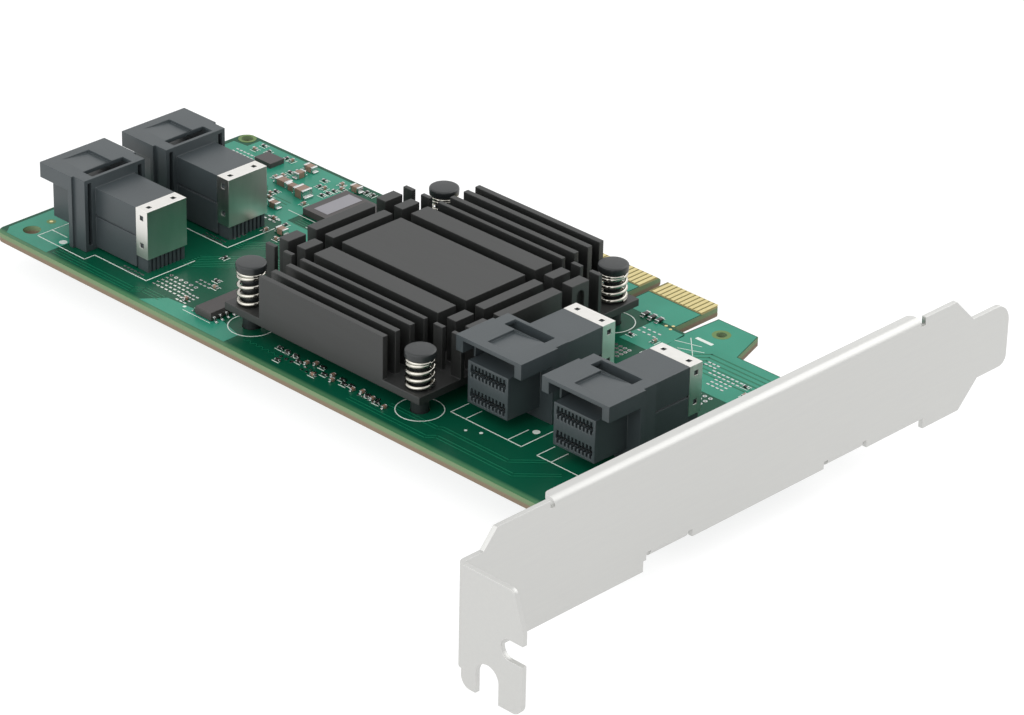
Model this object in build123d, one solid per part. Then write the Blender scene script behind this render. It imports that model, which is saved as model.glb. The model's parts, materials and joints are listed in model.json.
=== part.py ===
from build123d import *
import math
import os

# Adapter card with a full-height bracket. All sizes are in millimetres.
# X points out of the bracket, Y from the card's long front edge towards the edge contacts,
# Z up from the component side. The origin is on the bracket's outer face, at the board's
# front edge and its component side.

# Circuit board
BOARD_THICK = 1.57
BOARD_LENGTH = 142.4
BOARD_DEPTH = 55.95
BOARD_END_GAP = 0.64
BOARD_CORNER_R = 2.0
CORNER_HOLE_R = 1.5
CORNER_HOLE_INSET = 4.2
CORNER_HOLE_Y = 4.5
GROUND_HOLE_R = 1.05
GROUND_HOLE_INSET = 1.9
GROUND_HOLE_INSET_Y = 1.65

# Edge tongue and its contacts
TONGUE_REACH = 11.55
TONGUE_END_X = -43.6
SHORT_GROUP_COUNT = 11
LONG_GROUP_COUNT = 38
CONTACT_PITCH = 1.0
CONTACT_WIDTH = 0.7
CONTACT_LENGTH = 4.15
CONTACT_SETBACK = 0.45
CONTACT_THICK = 0.05
GROUP_MARGIN = 0.65
KEY_WIDTH = 1.9
KEY_DEPTH = 8.0
TONGUE_CHAMFER = 1.2
TONGUE_BEVEL = 0.4
SAME_PLACE = 0.01

# Hook beside the tongue
HOOK_GAP = 2.4
HOOK_REACH = 7.5
HOOK_FOOT_X = -30.0
HOOK_TIP_X = -32.4
HOOK_HOLE_R = 0.85
HOOK_SLANT = 0.4

# Bracket
SHEET = 0.86
BEND_R = 0.4
TAB_Y = -34.92
BRACKET_LENGTH = 120.02
PLATE_LOW_Z = -4.2
PLATE_HIGH_Z = 15.4
NECK_Z = 12.45
NECK_END_Y = -30.4
NEAR_SHOULDER_Y = -27.8
NEAR_LOW_END_Y = 2.5
FAR_LOW_START_INSET = 19.8
FAR_LOW_END_INSET = 11.2
FAR_HIGH_END_INSET = 13.4
FLANGE_START_Y = -16.35
FLANGE_END_INSET = 21.7
FLANGE_DEPTH = 2.54
FLANGE_DROP = 0.1
FLANGE_CORNER_R = 1.0
RELIEF_WIDTH = 0.9
END_TONGUE_LOW_Z = 0.0
END_TONGUE_HIGH_Z = 10.9
END_TONGUE_HIGH_R = 3.3
END_TONGUE_LOW_R = 1.7

# Bracket tab
TAB_REACH = 12.2
TAB_LOW_Z = -7.0
TAB_CORNER_R = 1.8
TAB_SLANT_Z = 6.3
TAB_SLANT_IN = 2.0
TAB_SLOT_WIDTH = 4.42
TAB_SLOT_X = 5.5
TAB_SLOT_TOP_Z = -1.5
SIDE_NOTCH_WIDTH = 3.3
SIDE_NOTCH_DEPTH = 4.2
SIDE_NOTCH_Z = 2.75

# Bracket ears and screws
FRONT_EAR_Y = 8.0
REAR_EAR_INSET = 8.95
EAR_WIDTH = 8.0
EAR_REACH = 9.5
EAR_SCREW_X = -6.2
SCREW_SHAFT_R = 1.5
SCREW_HEAD_R = 2.75
SCREW_HEAD_HEIGHT = 1.6
SCREW_TIP_OUT = 0.6
DRIVE_R = 1.3
DRIVE_DEPTH = 0.9
THREAD_CLEARANCE = 0.02
HOLE_CLEARANCE = 0.15

# Heatsink
SINK_X = -70.8
SINK_OFF_MIDDLE = 1.125
SINK_LENGTH = 43.9
SINK_DEPTH = 48.5
SINK_BASE_Z = 2.9
SINK_BASE_THICK = 1.3
SINK_TOP_Z = 11.58
SINK_FINS = ((1.05, 1.6), (1.05, 2.05), (1.03, 1.97), (0.8, 2.15), (3.85, 2.2))
SINK_STRIPS = ((2.15, 1.93), (2.0, 1.93))
SINK_STRIP_ROWS = 2
SINK_ARCH_WIDTH = 1.6
SINK_ARCH_DEPTH = 0.8
SINK_ARCH_TOP_Z = 10.3

# Switch chip and thermal pad under the heatsink
SWITCH_SIDE = 27.0
SWITCH_THICK = 2.4

# Push pins and springs
PIN_INSET_X = 2.95
PIN_INSET_Y = 3.05
PIN_HEAD_R = 2.52
PIN_HEAD_THICK = 1.3
PIN_HEAD_TOP_Z = 10.5
PIN_PROUD = 0.8
PIN_SHAFT_R = 1.45
PIN_CROWN_DROP = 0.4
PIN_BARB_R = 2.0
PIN_BARB_LENGTH = 2.3
PIN_BARB_STEP = 0.7
PIN_TIP_R = 1.0
PIN_SPLIT = 0.7
SHAFT_SIDES = 12
HEAD_SIDES = 32
SPRING_R = 2.1
SPRING_WIRE_R = 0.3
SPRING_TURNS = 5
SPRING_TURN_POINTS = 8
SPRING_SIDES = 4

# Receptacles, measured from the middle of their front at the board's surface
HOOD_WIDTH = 13.8
HOOD_DEPTH = 10.66
HOOD_TOP_Z = 12.8
HOOD_ROOF = 0.7
LIP_WIDTH = 1.45
LIP_LOW_Z = 10.1
NOSE_WIDTH = 8.55
NOSE_LOW_Z = 2.2
NOSE_TOP_Z = 9.4
RIDGE_START = 6.95
RIDGE_END = 7.9
GUIDE_START = 2.0
GUIDE_THICK = 0.4
GUIDE_LOW_Z = 9.0
BLOCK_STEP = 0.45
LATCH_WIDTH = 9.3
LATCH_DEPTH = 10.0
WINDOW_WIDTH = 8.5
WINDOW_START = 7.7
REAR_SLOT_X = 5.35
REAR_SLOT_WIDTH = 0.8
REAR_SLOT_DEPTH = 1.5
REAR_SLOT_LOW_Z = 1.0
FLAP_LEFT = -2.0
FLAP_RIGHT = 3.7
FLAP_START = 1.8
FLAP_END = 7.6
FLAP_DEPTH = 0.5
COMB_WIDTH = 7.5
COMB_DEPTH = 8.0
COMB_ZS = (3.75, 7.8)
COMB_HEIGHT = 2.2
COMB_SLOT_HEIGHT = 0.8
COMB_COUNT = 10
COMB_PITCH = 0.75
COMB_GROOVE_WIDTH = 0.4
COMB_CONTACT_WIDTH = 0.3
COMB_CONTACT_HEIGHT = 0.6
COMB_CONTACT_SETBACK = 0.9
BODY_WIDTH = 8.39
BODY_END = 20.59
BODY_LOW_Z = 0.3
BODY_TOP_Z = 10.97
BODY_GROOVE_Z = 6.0
BODY_GROOVE_HEIGHT = 0.4
BODY_GROOVE_DEPTH = 0.3
COVER_DEPTH = 2.79
COVER_SHEET = 0.25
COVER_LOW_Z = 2.45
COVER_HOLE_SIZE = 0.85
COVER_HOLE_SPACING = 5.2
COVER_SIDE_ZS = (4.6, 9.5)
WAFER_CLEARANCE = 0.05
WAFER_RIBS = 9
WAFER_RIB_WIDTH = 0.45
WAFER_RIB_DEPTH = 0.35

# Receptacle places: the middle of each front
LEFT_FRONT_INSET = 6.04
A_MIDDLE_Y = 12.0
B_MIDDLE_Y = 29.53
NEAR_FRONT_Y = 12.0
C_SINK_GAP = 0.49
D_FROM_C = 18.1

# Chips: length along X, depth along Y and height
CONTROLLER_SIZE = (10.0, 10.0, 1.2)
CONTROLLER_SINK_GAP = 10.95
CONTROLLER_INSET = 4.95
LEADED_SIZE = (3.9, 9.9, 1.5)
LEADED_SINK_GAP = 2.25
LEADED_MIDDLE_Y = 8.85
FLAT_SIZE = (4.0, 3.2, 0.9)
FLAT_FROM_END = 11.5
FLAT_INSET = 5.35
INDUCTOR_SIZE = (2.5, 2.2, 1.6)
INDUCTOR_INSET = 10.22
INDUCTOR_TO_CONTROLLER = 10.1
CHIP_STANDOFF = 0.1
LEAD_COUNT = 8
LEAD_PITCH = 1.27
LEAD_WIDTH = 0.42
LEAD_REACH = 1.05
LEAD_THICK = 0.2

# Ceramic capacitors and chip resistors: their sizes
CAP_SIZE = (2.0, 1.25, 1.1)
RESISTOR_SIZE = (1.6, 0.8, 0.5)
RESISTOR_COUNT = 3
RESISTOR_PITCH = 1.5
RESISTOR_FIRST = -0.85

# Values worked out from the sizes above
BOARD_NEAR_X = -SHEET - BOARD_END_GAP
BOARD_FAR_X = BOARD_NEAR_X - BOARD_LENGTH
TONGUE_Y = BOARD_DEPTH + TONGUE_REACH
SHORT_GROUP = (SHORT_GROUP_COUNT - 1) * CONTACT_PITCH + 2 * GROUP_MARGIN + CONTACT_WIDTH / 2
LONG_GROUP = (LONG_GROUP_COUNT - 1) * CONTACT_PITCH + 2 * GROUP_MARGIN + CONTACT_WIDTH / 2
KEY_X = TONGUE_END_X - SHORT_GROUP - KEY_WIDTH / 2
TONGUE_FAR_X = TONGUE_END_X - SHORT_GROUP - KEY_WIDTH - LONG_GROUP
BEND_OUT = BEND_R + SHEET
EAR_LOW_Z = -BOARD_THICK - SHEET
BRACKET_END_Y = TAB_Y + BRACKET_LENGTH
FLANGE_TOP_Z = PLATE_HIGH_Z - FLANGE_DROP
FLANGE_END_Y = BRACKET_END_Y - FLANGE_END_INSET
EAR_YS = (FRONT_EAR_Y, BOARD_DEPTH - REAR_EAR_INSET)
SINK_Y = BOARD_DEPTH / 2 + SINK_OFF_MIDDLE
SINK_LEFT_X = SINK_X - SINK_LENGTH / 2
SINK_RIGHT_X = SINK_X + SINK_LENGTH / 2
SINK_FIN_Z = SINK_BASE_Z + SINK_BASE_THICK
PIN_OFFSET_X = SINK_LENGTH / 2 - PIN_INSET_X
PIN_OFFSET_Y = SINK_DEPTH / 2 - PIN_INSET_Y
PIN_PLACES = (
    ("front_left", -1, -1, PIN_PROUD),
    ("front_right", 1, -1, 0.0),
    ("rear_left", -1, 1, 0.0),
    ("rear_right", 1, 1, 0.0),
)

# Receptacles: name, x and y of the middle of the front, turn about Z in degrees
LEFT_FRONT_X = BOARD_FAR_X + LEFT_FRONT_INSET
C_MIDDLE_X = SINK_RIGHT_X + C_SINK_GAP + HOOD_WIDTH / 2
RECEPTACLES = (
    ("a", LEFT_FRONT_X, A_MIDDLE_Y, -90),
    ("b", LEFT_FRONT_X, B_MIDDLE_Y, -90),
    ("c", C_MIDDLE_X, NEAR_FRONT_Y, 0),
    ("d", C_MIDDLE_X + D_FROM_C, NEAR_FRONT_Y, 0),
)

# Small parts: x and y of each middle, and its turn about Z
CONTROLLER_X = SINK_LEFT_X - CONTROLLER_SINK_GAP - CONTROLLER_SIZE[0] / 2
CONTROLLER_Y = BOARD_DEPTH - CONTROLLER_INSET - CONTROLLER_SIZE[1] / 2
INDUCTOR_X = CONTROLLER_X - INDUCTOR_TO_CONTROLLER
LEADED_X = SINK_LEFT_X - LEADED_SINK_GAP - LEADED_SIZE[0] / 2
REAR_CAPS = (
    (CONTROLLER_X - 15.5, BOARD_DEPTH - 9.55, 0),
    (CONTROLLER_X - 12.9, BOARD_DEPTH - 9.85, 0),
    (CONTROLLER_X - 16.4, BOARD_DEPTH - 2.55, 0),
    (CONTROLLER_X - 15.9, BOARD_DEPTH - 5.55, 90),
    (CONTROLLER_X - 5.3, BOARD_DEPTH - 2.35, 0),
)
LEFT_CAPS = (
    (BOARD_FAR_X + 25.0, B_MIDDLE_Y + 9.87, 0),
    (BOARD_FAR_X + 33.2, B_MIDDLE_Y + 4.07, 0),
)


def box_between(x0, x1, y0, y1, z0, z1):
    """A box given by its limits on each axis."""
    size = Box(x1 - x0, y1 - y0, z1 - z0)
    return Pos((x0 + x1) / 2, (y0 + y1) / 2, (z0 + z1) / 2) * size


def upright(radius, height, x, y, z):
    """A cylinder that stands on z at x and y."""
    return Pos(x, y, z + height / 2) * Cylinder(radius, height)


def prism(radius, height, x, y, z, sides=SHAFT_SIDES):
    """A many-sided shaft, head or hole that stands on z at x and y."""
    return Pos(x, y, z) * extrude(RegularPolygon(radius, sides), height)


def crowned_head(radius, thick, x, y, z, drop):
    """A round head that stands on z, its upper rim cut back by drop."""
    head = prism(radius, thick, x, y, z, HEAD_SIDES)
    return chamfer(head.faces().sort_by(Axis.Z)[-1].edges(), drop)


def flat_profile(points):
    """A face in the XY plane from its corners."""
    return make_face(Polyline(*points, close=True))


def board_outline():
    """The board's outline with its tongue, key notch and hook."""
    hook_far = TONGUE_END_X + HOOK_GAP
    hook_y = BOARD_DEPTH + HOOK_REACH
    points = [
        (BOARD_NEAR_X, 0),
        (BOARD_NEAR_X, BOARD_DEPTH),
        (HOOK_FOOT_X, BOARD_DEPTH),
        (HOOK_TIP_X, hook_y),
        (hook_far + HOOK_SLANT, hook_y),
        (hook_far, BOARD_DEPTH),
        (TONGUE_END_X, BOARD_DEPTH),
        (TONGUE_END_X, TONGUE_Y - TONGUE_CHAMFER),
        (TONGUE_END_X - TONGUE_CHAMFER, TONGUE_Y),
        (TONGUE_FAR_X + TONGUE_CHAMFER, TONGUE_Y),
        (TONGUE_FAR_X, TONGUE_Y - TONGUE_CHAMFER),
        (TONGUE_FAR_X, BOARD_DEPTH),
        (BOARD_FAR_X, BOARD_DEPTH),
        (BOARD_FAR_X, 0),
    ]
    outline = flat_profile(points)
    corners = [v for v in outline.vertices() if abs(v.X - BOARD_FAR_X) < SAME_PLACE]
    outline = fillet(corners, BOARD_CORNER_R)
    key = Pos(KEY_X, TONGUE_Y - KEY_DEPTH / 2) * Rectangle(KEY_WIDTH, KEY_DEPTH)
    key_foot = Pos(KEY_X, TONGUE_Y - KEY_DEPTH) * Circle(KEY_WIDTH / 2)
    return outline - key - key_foot


def board_holes():
    """Cutters for the holes through the board."""
    depth = BOARD_THICK * 3
    low = -BOARD_THICK * 2
    ground_x = BOARD_FAR_X + GROUND_HOLE_INSET
    ground_y = BOARD_DEPTH - GROUND_HOLE_INSET_Y
    hook_x = (HOOK_TIP_X + TONGUE_END_X + HOOK_GAP) / 2
    hook_y = BOARD_DEPTH + HOOK_REACH / 2
    cutters = [
        upright(CORNER_HOLE_R, depth, BOARD_FAR_X + CORNER_HOLE_INSET, CORNER_HOLE_Y, low),
        upright(GROUND_HOLE_R, depth, ground_x, ground_y, low),
        upright(HOOK_HOLE_R, depth, hook_x, hook_y, low),
    ]
    for ear_y in EAR_YS:
        cutters.append(upright(SCREW_SHAFT_R + HOLE_CLEARANCE, depth, EAR_SCREW_X, ear_y, low))
    for _, side_x, side_y, _ in PIN_PLACES:
        pin_x = SINK_X + side_x * PIN_OFFSET_X
        pin_y = SINK_Y + side_y * PIN_OFFSET_Y
        cutters.append(prism(PIN_SHAFT_R + HOLE_CLEARANCE, depth, pin_x, pin_y, low))
    return cutters


def make_board():
    """The circuit board, with the tongue's edge bevelled on both sides."""
    board = Pos(0, 0, -BOARD_THICK) * extrude(board_outline(), BOARD_THICK)
    tip_edges = [e for e in board.edges() if on_tongue_tip(e)]
    board = chamfer(tip_edges, TONGUE_BEVEL)
    for cutter in board_holes():
        board -= cutter
    return board


def on_tongue_tip(edge):
    """Whether an edge is one of the long level ones at the tongue's tip."""
    middle = edge @ 0.5
    level = abs((edge @ 0).Z - (edge @ 1).Z) < SAME_PLACE
    return level and abs(middle.Y - TONGUE_Y) < SAME_PLACE and edge.length > KEY_WIDTH


def contact_row(last_x, count, z_low):
    """One row of contacts, counted towards -X from the end of its group."""
    y_high = TONGUE_Y - CONTACT_SETBACK
    y_low = y_high - CONTACT_LENGTH
    first_x = last_x - GROUP_MARGIN - CONTACT_WIDTH / 4
    row = []
    for index in range(count):
        mid = first_x - index * CONTACT_PITCH
        half = CONTACT_WIDTH / 2
        row.append(box_between(mid - half, mid + half, y_low, y_high, z_low, z_low + CONTACT_THICK))
    return row


def make_contacts(z_low):
    """Both groups of contacts on one side of the tongue."""
    short_row = contact_row(TONGUE_END_X, SHORT_GROUP_COUNT, z_low)
    long_row = contact_row(KEY_X - KEY_WIDTH / 2, LONG_GROUP_COUNT, z_low)
    return Compound(children=short_row + long_row)


def plate_outline():
    """The bracket plate's outline, drawn with Y across and Z up."""
    end_y = BRACKET_END_Y
    shoulder = PLATE_HIGH_Z - END_TONGUE_HIGH_Z
    low_shoulder = END_TONGUE_LOW_Z - PLATE_LOW_Z
    low_start = end_y - FAR_LOW_START_INSET
    low_end = end_y - FAR_LOW_END_INSET
    high_end = end_y - FAR_HIGH_END_INSET
    points = [
        (TAB_Y + BEND_OUT, PLATE_LOW_Z),
        (NEAR_LOW_END_Y, PLATE_LOW_Z),
        (NEAR_LOW_END_Y, EAR_LOW_Z),
        (low_start, EAR_LOW_Z),
        (low_start, PLATE_LOW_Z),
        (low_end, PLATE_LOW_Z),
        (low_end + low_shoulder, END_TONGUE_LOW_Z),
        (end_y, END_TONGUE_LOW_Z),
        (end_y, END_TONGUE_HIGH_Z),
        (high_end + shoulder, END_TONGUE_HIGH_Z),
        (high_end, PLATE_HIGH_Z),
        (NEAR_SHOULDER_Y, PLATE_HIGH_Z),
        (NECK_END_Y, NECK_Z),
        (TAB_Y + BEND_OUT, NECK_Z),
    ]
    outline = flat_profile(points)
    high_tip = outline.vertices().sort_by_distance((end_y, END_TONGUE_HIGH_Z))[0]
    outline = fillet(high_tip, END_TONGUE_HIGH_R)
    low_tip = outline.vertices().sort_by_distance((end_y, END_TONGUE_LOW_Z))[0]
    return fillet(low_tip, END_TONGUE_LOW_R)


def plate_reliefs():
    """The parts of the plate's outline that the bends take away, with their notches."""
    flange_low = FLANGE_TOP_Z - BEND_OUT
    flange_mid = (FLANGE_START_Y + FLANGE_END_Y) / 2
    flange_width = FLANGE_END_Y - FLANGE_START_Y + 2 * RELIEF_WIDTH
    top_height = 2 * (PLATE_HIGH_Z - flange_low)
    reliefs = [Pos(flange_mid, PLATE_HIGH_Z) * Rectangle(flange_width, top_height)]
    for ear_y in EAR_YS:
        ear_cut = Rectangle(EAR_WIDTH + 2 * RELIEF_WIDTH, 2 * BEND_OUT)
        reliefs.append(Pos(ear_y, EAR_LOW_Z) * ear_cut)
    return reliefs


def bend_profile(inner_x, inner_y, side_x, side_y):
    """A quarter of a bend round a centre, with the folded corner at the given side."""
    ring = Circle(BEND_OUT) - Circle(BEND_R)
    quarter = Pos(side_x * BEND_OUT / 2, side_y * BEND_OUT / 2) * Rectangle(BEND_OUT, BEND_OUT)
    return Pos(inner_x, inner_y) * (ring & quarter)


def along_y(profile, y_start, y_end):
    """Extrude a profile that is drawn with X across and Z up from y_start to y_end."""
    face = Plane.XZ * profile
    return Pos(0, y_end, 0) * extrude(face, y_end - y_start)


def make_flange():
    """The upper flange, folded back over the board's edge."""
    bend_x = -SHEET - BEND_R
    bend_z = FLANGE_TOP_Z - BEND_OUT
    bend = along_y(bend_profile(bend_x, bend_z, 1, 1), FLANGE_START_Y, FLANGE_END_Y)
    width = FLANGE_END_Y - FLANGE_START_Y
    mid_y = (FLANGE_START_Y + FLANGE_END_Y) / 2
    reach = FLANGE_DEPTH + bend_x
    leaf = Pos(bend_x - reach / 2, mid_y) * Rectangle(reach, width)
    free = [v for v in leaf.vertices() if v.X < bend_x - reach / 2]
    leaf = fillet(free, FLANGE_CORNER_R)
    leaf = Pos(0, 0, FLANGE_TOP_Z - SHEET) * extrude(leaf, SHEET)
    return bend + leaf


def make_ear(ear_y):
    """One tapped ear, folded under the board."""
    bend_x = -SHEET - BEND_R
    bend_z = EAR_LOW_Z + BEND_OUT
    y_start = ear_y - EAR_WIDTH / 2
    y_end = ear_y + EAR_WIDTH / 2
    bend = along_y(bend_profile(bend_x, bend_z, 1, -1), y_start, y_end)
    leaf = box_between(-EAR_REACH, bend_x, y_start, y_end, EAR_LOW_Z, EAR_LOW_Z + SHEET)
    hole = upright(SCREW_SHAFT_R + THREAD_CLEARANCE, SHEET * 3, EAR_SCREW_X, ear_y, EAR_LOW_Z - SHEET)
    return bend + leaf - hole


def tab_outline():
    """The tab's outline, drawn with X across and Z up."""
    start = BEND_R
    points = [
        (start, TAB_LOW_Z),
        (TAB_REACH, TAB_LOW_Z),
        (TAB_REACH, TAB_SLANT_Z),
        (TAB_REACH - TAB_SLANT_IN, NECK_Z),
        (start, NECK_Z),
    ]
    outline = flat_profile(points)
    corners = [v for v in outline.vertices() if v.Y < TAB_LOW_Z + SAME_PLACE]
    outline = fillet(corners, TAB_CORNER_R)
    slant = outline.vertices().sort_by_distance((TAB_REACH - TAB_SLANT_IN, NECK_Z))[0]
    outline = fillet(slant, TAB_SLANT_IN / 2)
    slot_r = TAB_SLOT_WIDTH / 2
    slot_z = TAB_SLOT_TOP_Z - slot_r
    slot = Pos(TAB_SLOT_X, (slot_z + TAB_LOW_Z) / 2) * Rectangle(TAB_SLOT_WIDTH, slot_z - TAB_LOW_Z)
    notch_r = SIDE_NOTCH_WIDTH / 2
    notch_x = TAB_REACH - SIDE_NOTCH_DEPTH + notch_r
    notch = Pos((notch_x + TAB_REACH) / 2, SIDE_NOTCH_Z) * Rectangle(TAB_REACH - notch_x, SIDE_NOTCH_WIDTH)
    outline -= slot + Pos(TAB_SLOT_X, slot_z) * Circle(slot_r)
    return outline - notch - Pos(notch_x, SIDE_NOTCH_Z) * Circle(notch_r)


def make_tab():
    """The tab that is screwed to the machine, folded out of the plate."""
    leaf = along_y(tab_outline(), TAB_Y, TAB_Y + SHEET)
    bend = Pos(0, 0, PLATE_LOW_Z) * extrude(
        bend_profile(BEND_R, TAB_Y + BEND_OUT, -1, -1), NECK_Z - PLATE_LOW_Z
    )
    return leaf + bend


def make_bracket():
    """The full-height bracket, folded from one sheet."""
    outline = plate_outline()
    for relief in plate_reliefs():
        outline -= relief
    bracket = extrude(Plane.YZ * outline, -SHEET)
    bracket += make_flange()
    for ear_y in EAR_YS:
        bracket += make_ear(ear_y)
    return bracket + make_tab()


def make_bracket_screw(ear_y):
    """A pan-head screw through the board into an ear."""
    low_z = EAR_LOW_Z - SCREW_TIP_OUT
    shaft = prism(SCREW_SHAFT_R, -low_z, EAR_SCREW_X, ear_y, low_z)
    head = crowned_head(SCREW_HEAD_R, SCREW_HEAD_HEIGHT, EAR_SCREW_X, ear_y, 0, SCREW_HEAD_HEIGHT / 2)
    across = Box(2 * DRIVE_R, DRIVE_R / 2, DRIVE_DEPTH)
    drive = Pos(EAR_SCREW_X, ear_y, SCREW_HEAD_HEIGHT) * (across + Rot(0, 0, 90) * across)
    return shaft + head - drive


def sink_rows():
    """Limits in Y of the fins and of the middle pad, from the outer fin inwards."""
    edge = SINK_DEPTH / 2
    rows = []
    for width, gap in SINK_FINS:
        rows.append((edge - width, edge))
        rows.append((-edge, width - edge))
        edge -= width + gap
    rows.append((-edge, edge))
    return rows


def sink_column(x_low, x_high, rows):
    """The blocks of one column, standing on the heatsink's base."""
    column = []
    for y_low, y_high in rows:
        column.append(box_between(x_low, x_high, y_low, y_high, SINK_FIN_Z, SINK_TOP_Z))
    return column


def make_heatsink():
    """The heatsink: a base, a middle pad, fins along X and cross grooves."""
    half_x = SINK_LENGTH / 2
    half_y = SINK_DEPTH / 2
    rows = sink_rows()
    strip_rows = rows[-1 - 2 * SINK_STRIP_ROWS:]
    blocks = []
    edge = half_x
    for width, gap in SINK_STRIPS:
        blocks += sink_column(edge - width, edge, strip_rows)
        blocks += sink_column(-edge, width - edge, strip_rows)
        edge -= width + gap
    blocks += sink_column(-edge, edge, rows)
    sink = box_between(-half_x, half_x, -half_y, half_y, SINK_BASE_Z, SINK_FIN_Z).fuse(*blocks)
    for _, side_x, side_y, _ in PIN_PLACES:
        hole_low = SINK_BASE_Z - SINK_BASE_THICK
        radius = PIN_SHAFT_R + HOLE_CLEARANCE
        sink -= prism(radius, SINK_BASE_THICK * 3, side_x * PIN_OFFSET_X, side_y * PIN_OFFSET_Y, hole_low)
    arch_low, arch_high = strip_rows[-3]
    sink -= sink_arch(half_x, (arch_low + arch_high) / 2)
    return Pos(SINK_X, SINK_Y, 0) * sink


def sink_arch(half_x, arch_y):
    """Cutter for the arched notch in the outer face of one end block."""
    radius = SINK_ARCH_WIDTH / 2
    spring_z = SINK_ARCH_TOP_Z - radius
    height = spring_z - SINK_FIN_Z
    profile = Pos(arch_y, SINK_FIN_Z + height / 2) * Rectangle(SINK_ARCH_WIDTH, height)
    profile += Pos(arch_y, spring_z) * Circle(radius)
    return Pos(half_x - SINK_ARCH_DEPTH, 0, 0) * extrude(Plane.YZ * profile, SINK_ARCH_DEPTH * 2)


def make_switch_chip():
    """The chip that the heatsink cools."""
    half = SWITCH_SIDE / 2
    return Pos(SINK_X, SINK_Y, 0) * box_between(-half, half, -half, half, 0, SWITCH_THICK)


def make_thermal_pad():
    """The soft pad between the chip and the heatsink."""
    half = SWITCH_SIDE / 2
    return Pos(SINK_X, SINK_Y, 0) * box_between(-half, half, -half, half, SWITCH_THICK, SINK_BASE_Z)


def make_push_pin(side_x, side_y, proud):
    """A push pin: a flat head, a shaft and a split barb that grips under the board."""
    head_low = PIN_HEAD_TOP_Z + proud - PIN_HEAD_THICK
    head = crowned_head(PIN_HEAD_R, PIN_HEAD_THICK, 0, 0, head_low, PIN_CROWN_DROP)
    barb_top = -BOARD_THICK
    barb_mid = barb_top - PIN_BARB_STEP
    barb_low = barb_top - PIN_BARB_LENGTH
    shaft = prism(PIN_SHAFT_R, head_low - barb_mid, 0, 0, barb_mid)
    barb = prism(PIN_BARB_R, PIN_BARB_STEP, 0, 0, barb_mid)
    wide = Pos(0, 0, barb_mid) * RegularPolygon(PIN_BARB_R, SHAFT_SIDES)
    narrow = Pos(0, 0, barb_low) * RegularPolygon(PIN_TIP_R, SHAFT_SIDES)
    pin = head + shaft + barb + loft([narrow, wide])
    split_top = barb_top + BOARD_THICK / 2
    pin -= box_between(-PIN_SPLIT / 2, PIN_SPLIT / 2, -PIN_BARB_R, PIN_BARB_R, barb_low, split_top)
    return Pos(SINK_X + side_x * PIN_OFFSET_X, SINK_Y + side_y * PIN_OFFSET_Y, 0) * pin


def make_spring(side_x, side_y, proud):
    """A coil spring between the heatsink's base and a pin's head."""
    low_z = SINK_FIN_Z + SPRING_WIRE_R
    high_z = PIN_HEAD_TOP_Z + proud - PIN_HEAD_THICK - SPRING_WIRE_R
    height = high_z - low_z
    count = SPRING_TURNS * SPRING_TURN_POINTS
    points = []
    for index in range(count + 1):
        turn = 2 * math.pi * index / SPRING_TURN_POINTS
        points.append((SPRING_R * math.cos(turn), SPRING_R * math.sin(turn), height * index / count))
    path = Polyline(*points)
    start = Plane(origin=path @ 0, z_dir=path % 0)
    section = start * RegularPolygon(SPRING_WIRE_R, SPRING_SIDES)
    wire = sweep(section, path=path, transition=Transition.RIGHT)
    return Pos(SINK_X + side_x * PIN_OFFSET_X, SINK_Y + side_y * PIN_OFFSET_Y, low_z) * wire


def receptacle_shell():
    """The hood with its guide walls, the nose and the block that carry the plug."""
    half = HOOD_WIDTH / 2
    inner = half - BLOCK_STEP
    nose_half = NOSE_WIDTH / 2
    roof_z = HOOD_TOP_Z - HOOD_ROOF
    roof = box_between(-half, half, 0, RIDGE_START, roof_z, HOOD_TOP_Z)
    lip = box_between(half - LIP_WIDTH, half, 0, RIDGE_START, LIP_LOW_Z, HOOD_TOP_Z)
    guide_x = LATCH_WIDTH / 2
    guide = box_between(guide_x, guide_x + GUIDE_THICK, GUIDE_START, RIDGE_START, GUIDE_LOW_Z, HOOD_TOP_Z)
    nose = box_between(-nose_half, nose_half, 0, RIDGE_START, NOSE_LOW_Z, NOSE_TOP_Z)
    ridge = box_between(-half, half, RIDGE_START, RIDGE_END, 0, HOOD_TOP_Z)
    block = box_between(-inner, inner, RIDGE_END, HOOD_DEPTH, 0, HOOD_TOP_Z)
    walls = lip + guide
    return roof + walls + mirror(walls, Plane.YZ) + nose + ridge + block


def comb_cutter():
    """Cutter for one contact slot of the nose, with a row of grooves above and below it."""
    comb_half = COMB_WIDTH / 2
    slot_half = COMB_SLOT_HEIGHT / 2
    profile = Rectangle(2 * comb_half, 2 * slot_half)
    for index in range(COMB_COUNT):
        mid = (index - (COMB_COUNT - 1) / 2) * COMB_PITCH
        profile += Pos(mid, 0) * Rectangle(COMB_GROOVE_WIDTH, COMB_HEIGHT)
    return along_y(profile, 0, COMB_DEPTH)


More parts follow.
